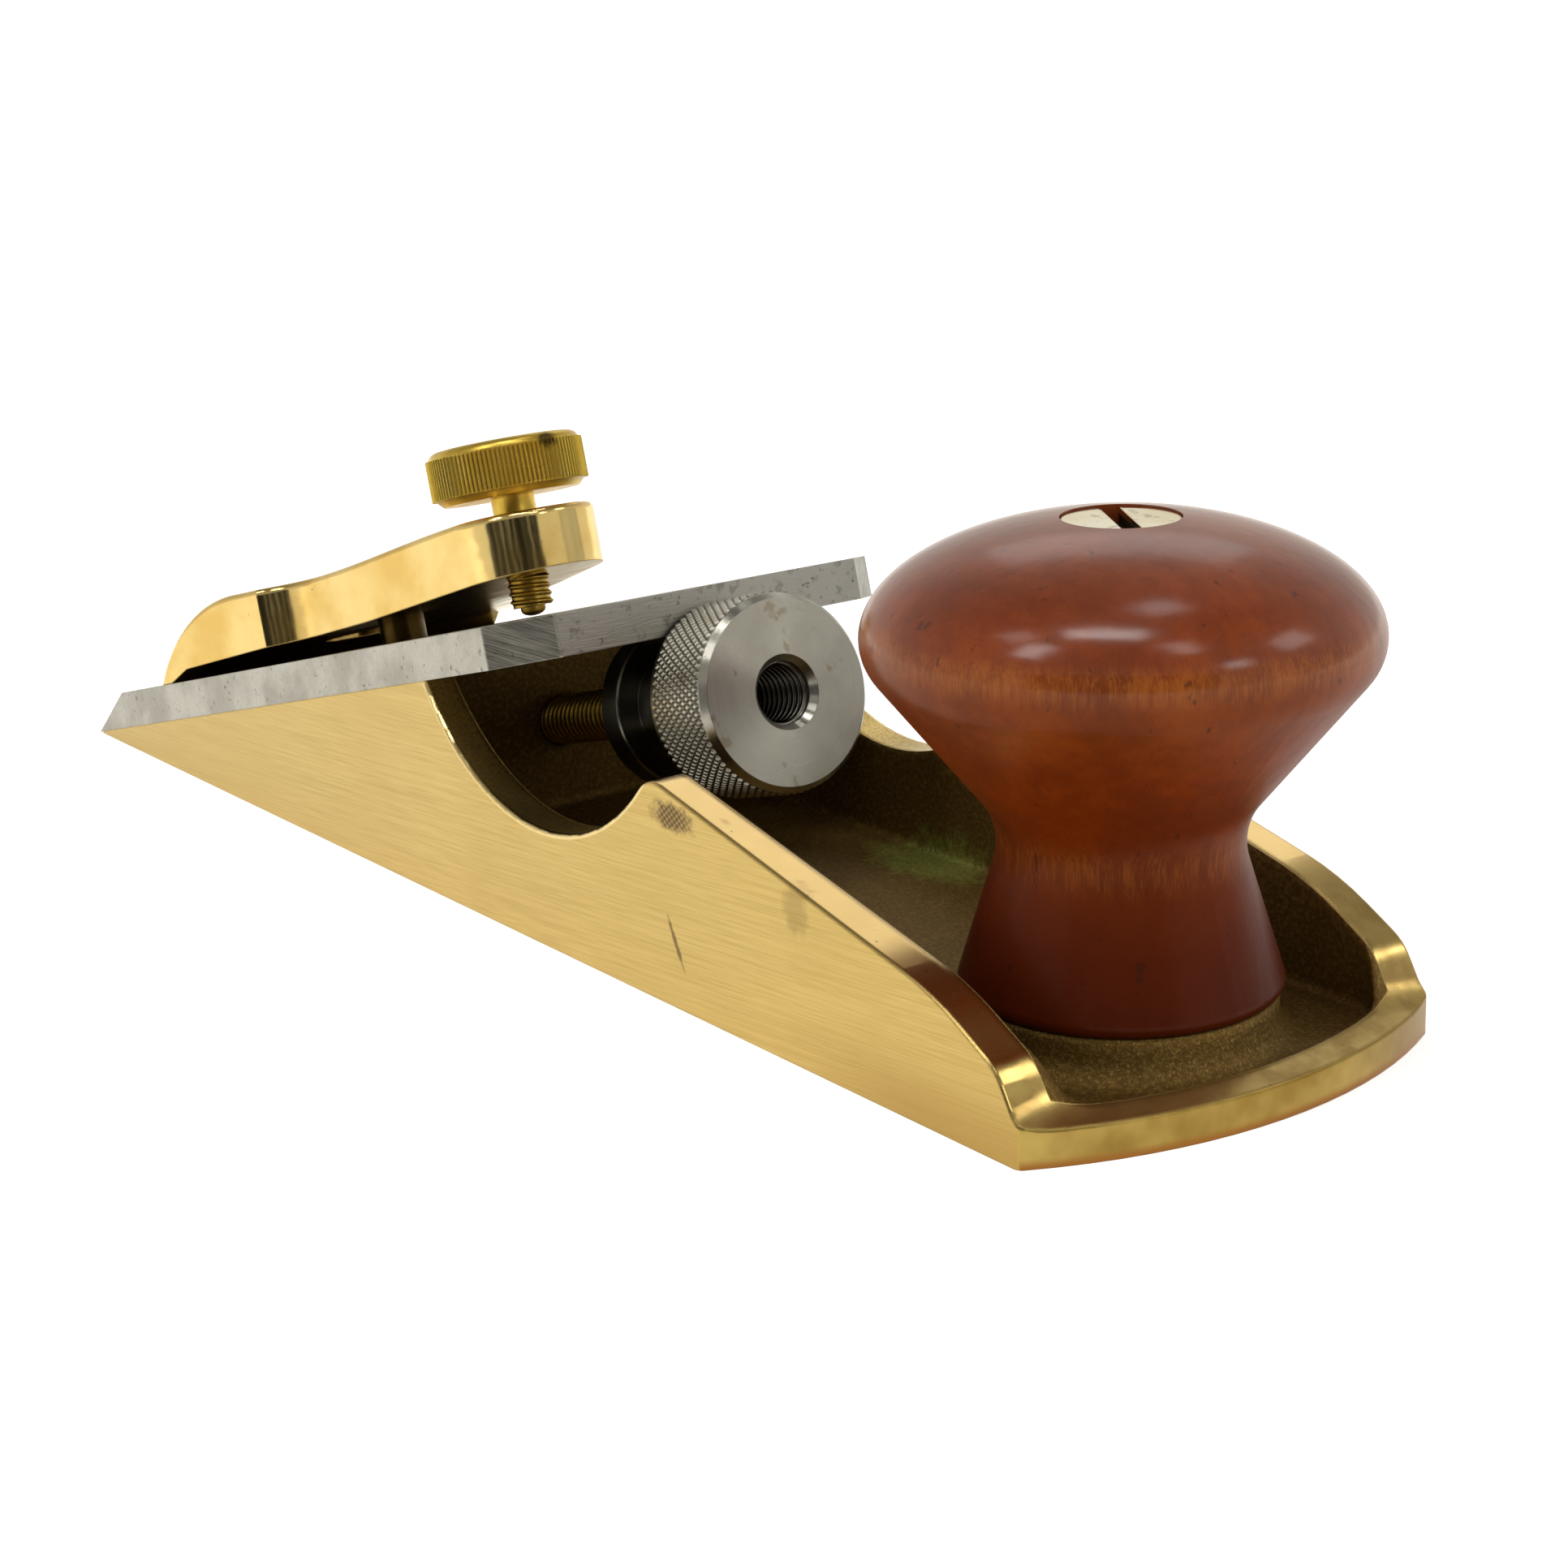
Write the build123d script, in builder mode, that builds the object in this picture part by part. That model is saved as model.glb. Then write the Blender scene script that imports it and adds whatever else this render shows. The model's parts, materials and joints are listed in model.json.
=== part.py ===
from build123d import *
from math import cos, radians, sin, sqrt, tan
import os

# Small bevel-up chisel plane. +X runs from the cutting edge to the heel, +Z is up, and the
# origin is the middle of the sole. A station is a distance from the edge along the sole or,
# for the pieces on the bed, along the bed. An inset is a distance in from the heel.

# Body casting
overall_length = 160.4
body_width = 41.3
bed_angle = 15.0
toe_setback = 0.8
heel_sagitta = 5.3
heel_corner_radius = 0.8
floor_height = 2.0
wall_thickness = 3.9
rim_width = 2.5
wall_draft = 2.5
block_station = 63.8
pocket_front_radius = 3.0
pocket_heel_radius = 5.0
pocket_fillet = 0.6
edge_fillet = 0.3

# Side walls: a finger scallop, a straight crest and a swept fall to the heel rim
scallop_station = 92.2
scallop_radius = 22.0
scallop_floor = 10.4
crest_station = 110.5
crest_height = 18.65
crest_fillet = 3.2
knee_inset = 14.7
knee_height = 10.6
knee_radius = 26.0
shoulder_inset = 7.75
shoulder_height = 6.85
shoulder_radius = 4.5
fall_angle = 59.0
rim_height = 2.85
rim_slope = 12.5
rim_sweep = 100.0
rim_blend_radius = 3.7

# Blade, as wide as the body
blade_length = 93.5
blade_thickness = 3.75
blade_bevel = 25.0
blade_clip = 4.7
blade_slot_width = 7.0
blade_slot_reach = 8.0
groove_clearance = 0.6
groove_margin = 4.0

# Hold-down screw, square to the bed
hold_station = 35.0
hold_shank_diameter = 4.8
hold_head_diameter = 9.4
hold_head_height = 2.5
hold_head_dome = 0.6
hold_depth = 7.0
hold_slot_width = 1.4
hold_slot_depth = 1.0

# Lever cap: stations along the bed, heights above the blade
cap_tip = 17.6
cap_side_inset = 0.65
cap_lip = 1.6
cap_nose_height = 0.7
cap_brow_run = 13.1
cap_brow_height = 7.75
cap_tail_run = 22.4
cap_tail_height = 7.9
cap_boss_height = 10.05
cap_boss_underside = 4.4
cap_arch_run = 2.8
cap_arch_height = 1.2
cap_bend_run = 29.9
cap_bend_height = 2.5
cap_bend_radius = 60.0
cap_shoulder_run = 17.3
cap_shoulder_width = 31.0
cap_waist_run = 4.7
cap_waist_width = 22.8
cap_waist_radius = 7.0
cap_boss_diameter = 15.0
cap_edge_fillet = 0.6
cap_recess_floor = 3.8
cap_release = 7.0

# Thumb screw through the boss of the lever cap
thumb_station = 62.4
thumb_shank_diameter = 4.2
thumb_head_diameter = 15.2
thumb_head_underside = 11.75
thumb_head_height = 5.3
thumb_head_chamfer = 0.45
thumb_tip_gap = 0.15
thumb_tip_diameter = 2.4
thumb_tip_length = 0.9

# Depth adjuster: a flanged nut that turns on a stud parallel to the bed
adjuster_depth = 6.45
flange_setback = 9.9
flange_length = 2.8
flange_diameter = 14.8
neck_diameter = 10.4
wheel_gap = 0.4
wheel_length = 8.5
wheel_diameter = 17.6
wheel_rear_chamfer = 0.65
wheel_front_chamfer = 0.2
wheel_countersink = 6.6
stud_diameter = 4.8
stud_seat = 12.0
stud_reach = 1.5
stud_chamfer = 0.4

# Knob, with the stud and the slotted barrel nut that hold it: heights above its pad, and
# diameters of the turned profile at its corners before they are rounded
knob_inset = 17.5
pad_height = 5.55
pad_diameter = 24.0
pad_fillet = 2.1
knob_foot_diameter = 25.4
knob_foot_radius = 0.9
knob_neck_diameter = 17.5
knob_neck_height = 12.8
knob_neck_radius = 5.5
knob_brim_diameter = 38.7
knob_brim_height = 25.8
knob_brim_radius = 4.4
knob_dome_base = 27.4
knob_height = 36.4
knob_stud_diameter = 5.0
knob_stud_seat = 3.6
knob_stud_grip = 8.0
nut_head_diameter = 8.8
nut_head_height = 2.2
nut_sink = 0.4
nut_barrel_diameter = 7.2
nut_barrel_length = 12.0
nut_slot_width = 1.5
nut_slot_depth = 1.2
nut_slot_turn = -30.0

# Clearances
thread_fit = 0.05
seat_fit = 0.1
slide_fit = 0.3

# Shared planes and axes
half_width = body_width / 2
toe_x = -overall_length / 2
heel_x = overall_length / 2
knob_x = heel_x - knob_inset
knee_station = overall_length - knee_inset
crest_fall = (crest_height - knee_height) / (knee_station - crest_station)
slope = radians(bed_angle)
along = (cos(slope), 0, sin(slope))
above = (-sin(slope), 0, cos(slope))
bed = Plane(origin=(toe_x, 0, 0), x_dir=along, z_dir=above)
blade_top = bed.offset(blade_thickness)
flange_station = blade_length - flange_setback
stud_front = (block_station - adjuster_depth * sin(slope)) / cos(slope) - stud_seat
nut_top = knob_height - nut_sink
nut_shoulder = nut_top - nut_head_height
nut_end = nut_top - nut_barrel_length


def bed_section(station, height):
    """Lengthwise plane at a station and a height over the bed: local x along it, y square to it."""
    return Plane(origin=bed.from_local_coords((station, 0, height)), x_dir=along, z_dir=(0, -1, 0))


def crest(station):
    """Height of the straight crest line of the side walls, which passes through the knee."""
    return crest_height - crest_fall * (station - crest_station)


blade_section = bed_section(0, 0)
cap_section = bed_section(0, blade_thickness)
hold_section = bed_section(hold_station, blade_thickness)
thumb_section = bed_section(thumb_station, blade_thickness)
adjuster_section = bed_section(0, -adjuster_depth)
knob_section = Plane(origin=(knob_x, 0, pad_height), x_dir=(1, 0, 0), z_dir=(0, -1, 0))
hold_axis = Axis(hold_section.origin, above)
thumb_axis = Axis(thumb_section.origin, above)
adjuster_axis = Axis(adjuster_section.origin, along)
knob_axis = Axis(knob_section.origin, (0, 0, 1))


with BuildPart() as body:
    # Side view: the bed line and the crest line meet inside the scallop, which cuts them off
    apex_station = crest(0) / (tan(slope) + crest_fall)
    fall_run = 1 / tan(radians(fall_angle))
    fall_end_x = heel_x - shoulder_inset + fall_run * shoulder_height
    rough_half = half_width + rim_width
    with BuildSketch(Plane.XZ) as side_view:
        with BuildLine():
            ridge = FilletPolyline(
                (toe_x + apex_station, tan(slope) * apex_station),
                (toe_x + knee_station, knee_height),
                (heel_x - shoulder_inset, shoulder_height),
                (fall_end_x, 0),
                radius=[knee_radius, shoulder_radius],
            )
            Polyline(
                ridge @ 1,
                (toe_x + toe_setback, 0),
                (toe_x + toe_setback, tan(slope) * toe_setback),
                ridge @ 0,
            )
        make_face()
        with Locations((toe_x + scallop_station, scallop_floor + scallop_radius)):
            Circle(scallop_radius, mode=Mode.SUBTRACT)
        fillet(side_view.vertices(Select.LAST).sort_by(Axis.X)[-1], crest_fillet)
    extrude(amount=rough_half, both=True)

    # Heel rim: a ring round the axis of the bowed heel, its top rising inwards, blended with the fall
    heel_radius = (half_width**2 + heel_sagitta**2) / (2 * heel_sagitta)
    heel_axis = Axis((heel_x - heel_radius, 0, 0), (0, 0, 1))
    half_sweep = radians(rim_sweep / 2)
    rim_section = Plane(
        origin=heel_axis.position,
        x_dir=(cos(half_sweep), -sin(half_sweep), 0),
        z_dir=(-sin(half_sweep), -cos(half_sweep), 0),
    )
    ring_inside = 3 * rim_width
    ring_outside = 2 * rim_width
    rim_rise = tan(radians(rim_slope))
    with BuildSketch(rim_section):
        with BuildLine():
            Polyline(
                (heel_radius - ring_inside, 0),
                (heel_radius + ring_outside, 0),
                (heel_radius + ring_outside, rim_height - rim_rise * ring_outside),
                (heel_radius - ring_inside, rim_height + rim_rise * ring_inside),
                close=True,
            )
        make_face()
    revolve(axis=heel_axis, revolution_arc=rim_sweep)
    with BuildSketch(Plane.XY):
        Rectangle(4 * overall_length, 2 * rough_half)
    extrude(amount=overall_length, mode=Mode.INTERSECT)
    rim_mark = Vertex(fall_end_x - fall_run * rim_height, 0, rim_height)
    fillet(body.edges().sort_by_distance(rim_mark)[0], rim_blend_radius)

    # Plan view: straight sides and a bowed heel
    heel_corner_x = heel_x - heel_sagitta
    with BuildSketch(Plane.XY) as plan_view:
        with BuildLine():
            Polyline(
                (heel_corner_x, -half_width),
                (toe_x, -half_width),
                (toe_x, half_width),
                (heel_corner_x, half_width),
            )
            ThreePointArc((heel_corner_x, half_width), (heel_x, 0), (heel_corner_x, -half_width))
        make_face()
        fillet(plan_view.vertices().group_by(Axis.X)[-1], heel_corner_radius)
    extrude(amount=overall_length, mode=Mode.INTERSECT)

    # Drafted pocket between the walls, its heel concentric with the outline
    pocket_radius = heel_radius - rim_width
    pocket_half = half_width - wall_thickness
    pocket_corner_x = heel_x - heel_radius + sqrt(pocket_radius**2 - pocket_half**2)
    pocket_front_x = toe_x + block_station
    with BuildSketch(Plane.XY.offset(floor_height)) as pocket:
        with BuildLine():
            Polyline(
                (pocket_corner_x, pocket_half),
                (pocket_front_x, pocket_half),
                (pocket_front_x, -pocket_half),
                (pocket_corner_x, -pocket_half),
            )
            ThreePointArc(
                (pocket_corner_x, -pocket_half), (heel_x - rim_width, 0), (pocket_corner_x, pocket_half)
            )
        make_face()
        fillet(pocket.vertices().group_by(Axis.X)[0], pocket_front_radius)
        fillet(pocket.vertices().group_by(Axis.X)[-1], pocket_heel_radius)
    extrude(amount=overall_length, taper=-wall_draft, mode=Mode.SUBTRACT)
    fillet(body.faces(Select.LAST).sort_by(Axis.Z)[0].edges(), pocket_fillet)

    # One eased edge runs round the outside of the walls and the heel rim
    edge_station = (crest_station + knee_station) / 2
    edge_marks = [Vertex(toe_x + edge_station, side * half_width, crest(edge_station)) for side in (-1, 1)]
    fillet([body.edges().sort_by_distance(mark)[0] for mark in edge_marks], edge_fillet)

    # Pad under the knob, tapped for its stud
    with BuildSketch(Plane.XY.offset(floor_height)):
        with Locations((knob_x, 0)):
            Circle(pad_diameter / 2)
    extrude(amount=pad_height - floor_height)
    pad_foot = Vertex(knob_x + pad_diameter / 2, 0, floor_height)
    fillet(body.edges().filter_by(GeomType.CIRCLE).sort_by_distance(pad_foot)[0], pad_fillet)
    with BuildSketch(Plane.XY.offset(pad_height)):
        with Locations((knob_x, 0)):
            Circle(knob_stud_diameter / 2 + thread_fit)
    extrude(amount=-knob_stud_seat, mode=Mode.SUBTRACT)

    # Tapped holes for the hold-down screw and the adjuster stud
    with BuildSketch(bed):
        with Locations((hold_station, 0)):
            Circle(hold_shank_diameter / 2 + thread_fit)
    extrude(amount=-hold_depth, mode=Mode.SUBTRACT)
    stud_bottom = adjuster_section.from_local_coords((stud_front, 0, 0))
    with BuildSketch(Plane(origin=stud_bottom, x_dir=(0, 1, 0), z_dir=along)):
        Circle(stud_diameter / 2 + thread_fit)
    extrude(amount=stud_seat + flange_diameter, mode=Mode.SUBTRACT)
body.part.label = "body"


with BuildPart() as blade:
    bevel_run = blade_thickness / tan(radians(blade_bevel))
    with BuildSketch(blade_section):
        with BuildLine():
            Polyline(
                (0, 0),
                (bevel_run, blade_thickness),
                (blade_length, blade_thickness),
                (blade_length, 0),
                close=True,
            )
        make_face()
    extrude(amount=half_width, both=True)
    chamfer(blade.edges().filter_by(Axis(bed.origin, above)).sort_by(Axis.X)[-2:], blade_clip)

    # Long slot over the hold-down screw
    slot_front = hold_station - cap_release
    slot_rear = hold_station + blade_slot_reach
    with BuildSketch(bed):
        with Locations(((slot_front + slot_rear) / 2, 0)):
            SlotCenterToCenter(slot_rear - slot_front, blade_slot_width)
    extrude(amount=blade_thickness, mode=Mode.SUBTRACT)

    # Groove underneath that the adjuster's flange drives
    groove_depth = flange_diameter / 2 - adjuster_depth + groove_clearance
    with BuildSketch(bed):
        with Locations((flange_station + flange_length / 2, 0)):
            Rectangle(flange_length + 2 * seat_fit, flange_diameter + 2 * groove_margin)
    extrude(amount=groove_depth, mode=Mode.SUBTRACT)
blade.part.label = "blade"


with BuildPart() as lever_cap:
    cap_half = half_width - cap_side_inset
    cap_shoulder = cap_tip + cap_shoulder_run
    cap_waist = cap_shoulder + cap_waist_run
    boss_radius = cap_boss_diameter / 2
    boss_rear = thumb_station + boss_radius
    with BuildSketch(cap_section):
        with BuildLine():
            crown = Spline(
                (boss_rear, cap_boss_height),
                (cap_tip + cap_tail_run, cap_tail_height),
                (cap_tip + cap_brow_run, cap_brow_height),
                tangents=[(-1, 0), (-1, 0)],
            )
            brow = TangentArc(crown @ 1, (cap_tip, cap_nose_height), tangent=crown % 1)
            underside = FilletPolyline(
                (cap_tip + cap_lip + cap_arch_run, cap_arch_height),
                (cap_tip + cap_bend_run, cap_bend_height),
                (boss_rear, cap_boss_underside),
                radius=cap_bend_radius,
            )
            Polyline(brow @ 1, (cap_tip, 0), (cap_tip + cap_lip, 0), underside @ 0)
            Line(underside @ 1, crown @ 0)
        make_face()
    extrude(amount=cap_half, both=True)

    # Plan: a narrowing nose, a hollow shoulder and a tapering tail that ends in a round boss
    with BuildSketch(blade_top):
        with BuildLine():
            Line((cap_waist, -cap_waist_width / 2), (cap_waist, cap_waist_width / 2))
            CenterArc((thumb_station, 0), boss_radius, 0, 360)
        make_hull()
        with BuildLine():
            flank = Line((cap_tip, -cap_half), (cap_shoulder, -cap_shoulder_width / 2))
            hollow = RadiusArc(flank @ 1, (cap_waist, -cap_waist_width / 2), cap_waist_radius)
            Polyline(hollow @ 1, (cap_waist, 0), (cap_tip, 0), flank @ 0)
        make_face()
        mirror(about=Plane.XZ)
    extrude(amount=overall_length, mode=Mode.INTERSECT)
    crown_faces = [face for face in lever_cap.faces() if face.normal_at().dot(Vector(above)) > 0.8]
    crown_edges = ShapeList(edge for face in crown_faces for edge in face.edges())
    fillet(crown_edges.filter_by(Axis.Y, reverse=True), cap_edge_fillet)

    # Keyhole: the screw head drops through the round end, then seats in the sunk slot
    head_room = hold_head_diameter + 2 * slide_fit
    with BuildSketch(blade_top.offset(cap_recess_floor)):
        with Locations((hold_station - cap_release / 2, 0)):
            SlotCenterToCenter(cap_release, head_room)
    extrude(amount=overall_length, mode=Mode.SUBTRACT)
    with BuildSketch(blade_top):
        with Locations((hold_station - cap_release / 2, 0)):
            SlotCenterToCenter(cap_release, hold_shank_diameter + 2 * slide_fit)
        with Locations((hold_station - cap_release, 0)):
            Circle(head_room / 2)
        with Locations((thumb_station, 0)):
            Circle(thumb_shank_diameter / 2 + thread_fit)
    extrude(amount=overall_length, mode=Mode.SUBTRACT)
lever_cap.part.label = "lever_cap"


with BuildPart() as thumb_screw:
    thumb_shank = thumb_shank_diameter / 2
    thumb_head = thumb_head_diameter / 2
    thumb_top = thumb_head_underside + thumb_head_height
    with BuildSketch(thumb_section):
        with BuildLine():
            Polyline(
                (0, thumb_tip_gap),
                (thumb_tip_diameter / 2, thumb_tip_gap),
                (thumb_shank, thumb_tip_gap + thumb_tip_length),
                (thumb_shank, thumb_head_underside),
                (thumb_head - thumb_head_chamfer, thumb_head_underside),
                (thumb_head, thumb_head_underside + thumb_head_chamfer),
                (thumb_head, thumb_top - thumb_head_chamfer),
                (thumb_head - thumb_head_chamfer, thumb_top),
                (0, thumb_top),
                close=True,
            )
        make_face()
    revolve(axis=thumb_axis)
thumb_screw.part.label = "thumb_screw"


with BuildPart() as cap_screw:
    hold_head = hold_head_diameter / 2
    hold_shank = hold_shank_diameter / 2
    hold_top = cap_recess_floor + hold_head_height
    with BuildSketch(hold_section):
        with BuildLine():
            dome = TangentArc((0, hold_top), (hold_head, hold_top - hold_head_dome), tangent=(1, 0))
            Polyline(
                dome @ 1,
                (hold_head, cap_recess_floor),
                (hold_shank, cap_recess_floor),
                (hold_shank, -blade_thickness - hold_depth),
                (0, -blade_thickness - hold_depth),
                dome @ 0,
            )
        make_face()
    revolve(axis=hold_axis)
    with BuildSketch(blade_top.offset(hold_top)):
        with Locations((hold_station, 0)):
            Rectangle(hold_slot_width, hold_head_diameter)
    extrude(amount=-hold_slot_depth, mode=Mode.SUBTRACT)
cap_screw.part.label = "cap_screw"


with BuildPart() as adjuster_wheel:
    flange_rear = flange_station + flange_length
    wheel_front = blade_length + wheel_gap
    wheel_rear = wheel_front + wheel_length
    wheel_radius = wheel_diameter / 2
    wheel_bore = stud_diameter / 2 + thread_fit
    wheel_mouth = wheel_countersink / 2
    with BuildSketch(adjuster_section):
        with BuildLine():
            Polyline(
                (flange_station, wheel_bore),
                (flange_station, flange_diameter / 2),
                (flange_rear, flange_diameter / 2),
                (flange_rear, neck_diameter / 2),
                (wheel_front, neck_diameter / 2),
                (wheel_front, wheel_radius - wheel_front_chamfer),
                (wheel_front + wheel_front_chamfer, wheel_radius),
                (wheel_rear - wheel_rear_chamfer, wheel_radius),
                (wheel_rear, wheel_radius - wheel_rear_chamfer),
                (wheel_rear, wheel_mouth),
                (wheel_rear - (wheel_mouth - wheel_bore), wheel_bore),
                close=True,
            )
        make_face()
    revolve(axis=adjuster_axis)
adjuster_wheel.part.label = "adjuster_wheel"


with BuildPart() as adjuster_stud:
    stud_end = wheel_front + stud_reach
    with BuildSketch(adjuster_section):
        with Locations(((stud_front + stud_end) / 2, stud_diameter / 4)):
            Rectangle(stud_end - stud_front, stud_diameter / 2)
    revolve(axis=adjuster_axis)
    chamfer(adjuster_stud.edges().filter_by(GeomType.CIRCLE), stud_chamfer)
adjuster_stud.part.label = "adjuster_stud"


with BuildPart() as knob:
    with BuildSketch(knob_section):
        with BuildLine():
            turned = FilletPolyline(
                (0, 0),
                (knob_foot_diameter / 2, 0),
                (knob_neck_diameter / 2, knob_neck_height),
                (knob_brim_diameter / 2, knob_brim_height),
                (knob_brim_diameter / 2, knob_dome_base),
                radius=[knob_foot_radius, knob_neck_radius, knob_brim_radius],
            )
            EllipticalCenterArc(
                (0, knob_dome_base), knob_brim_diameter / 2, knob_height - knob_dome_base, arc_size=90
            )
            Line((0, knob_height), turned @ 0)
        make_face()
    revolve(axis=knob_axis)
    # Stepped hole for the stud and the barrel nut
    for radius, bottom in (
        (knob_stud_diameter / 2 + slide_fit, 0),
        (nut_barrel_diameter / 2 + seat_fit, nut_end),
        (nut_head_diameter / 2 + seat_fit, nut_shoulder),
    ):
        with BuildSketch(Plane.XY.offset(pad_height + bottom)):
            with Locations((knob_x, 0)):
                Circle(radius)
        extrude(amount=knob_height, mode=Mode.SUBTRACT)
knob.part.label = "knob"


with BuildPart() as knob_stud:
    with BuildSketch(Plane.XY.offset(pad_height - knob_stud_seat)):
        with Locations((knob_x, 0)):
            Circle(knob_stud_diameter / 2)
    extrude(amount=knob_stud_seat + nut_end + knob_stud_grip)
    chamfer(knob_stud.edges().filter_by(GeomType.CIRCLE), stud_chamfer)
knob_stud.part.label = "knob_stud"


with BuildPart() as knob_nut:
    with BuildSketch(Plane.XY.offset(pad_height + nut_end)):
        with Locations((knob_x, 0)):
            Circle(nut_barrel_diameter / 2)
    extrude(amount=nut_barrel_length - nut_head_height)
    with BuildSketch(Plane.XY.offset(pad_height + nut_shoulder)):
        with Locations((knob_x, 0)):
            Circle(nut_head_diameter / 2)
    extrude(amount=nut_head_height)
    # Blind tapped hole that stops at the end of the stud
    with BuildSketch(Plane.XY.offset(pad_height + nut_end)):
        with Locations((knob_x, 0)):
            Circle(knob_stud_diameter / 2 + thread_fit)
    extrude(amount=knob_stud_grip, mode=Mode.SUBTRACT)
    with BuildSketch(Plane.XY.offset(pad_height + nut_top)):
        with Locations((knob_x, 0)):
            Rectangle(nut_head_diameter, nut_slot_width, rotation=nut_slot_turn)
    extrude(amount=-nut_slot_depth, mode=Mode.SUBTRACT)
knob_nut.part.label = "knob_nut"


os.makedirs("parts", exist_ok=True)
for piece in (
    body, blade, lever_cap, thumb_screw, cap_screw, adjuster_wheel, adjuster_stud, knob, knob_stud, knob_nut
):
    export_step(piece.part, f"parts/{piece.part.label}.step")
    print(piece.part.label, piece.part.is_valid, round(piece.part.volume))
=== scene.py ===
import json
import math

import bmesh
import bpy
from mathutils import Matrix, Vector


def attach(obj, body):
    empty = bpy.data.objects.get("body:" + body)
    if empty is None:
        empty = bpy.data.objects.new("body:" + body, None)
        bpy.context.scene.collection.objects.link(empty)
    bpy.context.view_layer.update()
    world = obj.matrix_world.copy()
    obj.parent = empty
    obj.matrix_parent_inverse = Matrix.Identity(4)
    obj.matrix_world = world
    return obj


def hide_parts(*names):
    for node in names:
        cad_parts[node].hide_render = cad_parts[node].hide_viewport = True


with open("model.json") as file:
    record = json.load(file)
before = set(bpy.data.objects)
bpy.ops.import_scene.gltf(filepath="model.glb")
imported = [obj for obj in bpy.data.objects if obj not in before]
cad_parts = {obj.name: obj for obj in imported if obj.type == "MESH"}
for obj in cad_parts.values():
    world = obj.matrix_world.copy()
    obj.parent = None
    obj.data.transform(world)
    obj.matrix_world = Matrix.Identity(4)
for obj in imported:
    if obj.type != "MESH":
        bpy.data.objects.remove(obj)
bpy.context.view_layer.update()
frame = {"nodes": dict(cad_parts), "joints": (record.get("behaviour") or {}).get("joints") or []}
nodes = frame["nodes"]
joints = {joint["name"]: joint for joint in frame["joints"]}
scene = bpy.context.scene
millimetres = 1000.0  # to a metre
print("frame loaded:", len(nodes), "nodes")


# Small helpers for node trees

def addNode(tree, kind, **settings):
    node = tree.nodes.new(kind)
    for name, value in settings.items():
        setattr(node, name, value)
    return node


def feed(tree, socket, value):
    if isinstance(value, bpy.types.NodeSocket):
        tree.links.new(value, socket)
    else:
        socket.default_value = value


def maths(tree, operation, first, second=0.0):
    node = addNode(tree, "ShaderNodeMath", operation=operation)
    feed(tree, node.inputs[0], first)
    feed(tree, node.inputs[1], second)
    return node.outputs[0]


def plus(tree, first, second):
    return maths(tree, "ADD", first, second)


def minus(tree, first, second):
    return maths(tree, "SUBTRACT", first, second)


def times(tree, first, second):
    return maths(tree, "MULTIPLY", first, second)


def larger(tree, first, second):
    return maths(tree, "MAXIMUM", first, second)


def vectorMaths(tree, operation, first, second=(0.0, 0.0, 0.0)):
    node = addNode(tree, "ShaderNodeVectorMath", operation=operation)
    feed(tree, node.inputs[0], first)
    feed(tree, node.inputs[1], second)
    return node.outputs["Value" if operation in ("LENGTH", "DOT_PRODUCT") else "Vector"]


def splitAxes(tree, vector):
    node = addNode(tree, "ShaderNodeSeparateXYZ")
    feed(tree, node.inputs[0], vector)
    return node.outputs


def joinAxes(tree, x=0.0, y=0.0, z=0.0):
    node = addNode(tree, "ShaderNodeCombineXYZ")
    for socket, value in zip(node.inputs, (x, y, z)):
        feed(tree, socket, value)
    return node.outputs[0]


def noise(tree, vector, scale, detail=2.0, rough=0.5):
    node = addNode(tree, "ShaderNodeTexNoise")
    feed(tree, node.inputs["Vector"], vector)
    feed(tree, node.inputs["Scale"], scale)
    feed(tree, node.inputs["Detail"], detail)
    feed(tree, node.inputs["Roughness"], rough)
    return node.outputs[0]


def remap(tree, value, fromLow, fromHigh, toLow=0.0, toHigh=1.0, smooth=True):
    shape = "SMOOTHSTEP" if smooth else "LINEAR"
    node = addNode(tree, "ShaderNodeMapRange", interpolation_type=shape)
    feed(tree, node.inputs["Value"], value)
    feed(tree, node.inputs["From Min"], fromLow)
    feed(tree, node.inputs["From Max"], fromHigh)
    feed(tree, node.inputs["To Min"], toLow)
    feed(tree, node.inputs["To Max"], toHigh)
    return node.outputs["Result"]


def band(tree, value, rising, falling):
    return times(tree, remap(tree, value, *rising), remap(tree, value, *falling))


def mixColour(tree, factor, first, second):
    node = addNode(tree, "ShaderNodeMix", data_type="RGBA")
    feed(tree, node.inputs[0], factor)
    feed(tree, node.inputs[6], first)
    feed(tree, node.inputs[7], second)
    return node.outputs[2]


def tint(tree, base, shade, mask, share):
    return mixColour(tree, times(tree, mask, share), base, shade)


def mixValue(tree, factor, first, second):
    node = addNode(tree, "ShaderNodeMix", data_type="FLOAT")
    feed(tree, node.inputs[0], factor)
    feed(tree, node.inputs[2], first)
    feed(tree, node.inputs[3], second)
    return node.outputs[0]


def colour(red, green, blue):
    return (red, green, blue, 1.0)


def startTree(name, treeKind, inputs, output):
    tree = bpy.data.node_groups.new(name, treeKind)
    for label, kind, *value in inputs:
        socket = tree.interface.new_socket(label, in_out="INPUT", socket_type="NodeSocket" + kind)
        if value:
            socket.default_value = value[0]
    label, kind = output
    tree.interface.new_socket(label, in_out="OUTPUT", socket_type="NodeSocket" + kind)
    source = addNode(tree, "NodeGroupInput").outputs
    sink = addNode(tree, "NodeGroupOutput").inputs
    return tree, source, sink


def placeGroup(tree, group, **values):
    node = addNode(tree, "ShaderNodeGroup", node_tree=group)
    for name, value in values.items():
        feed(tree, node.inputs[name], value)
    return node.outputs[0]


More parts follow.
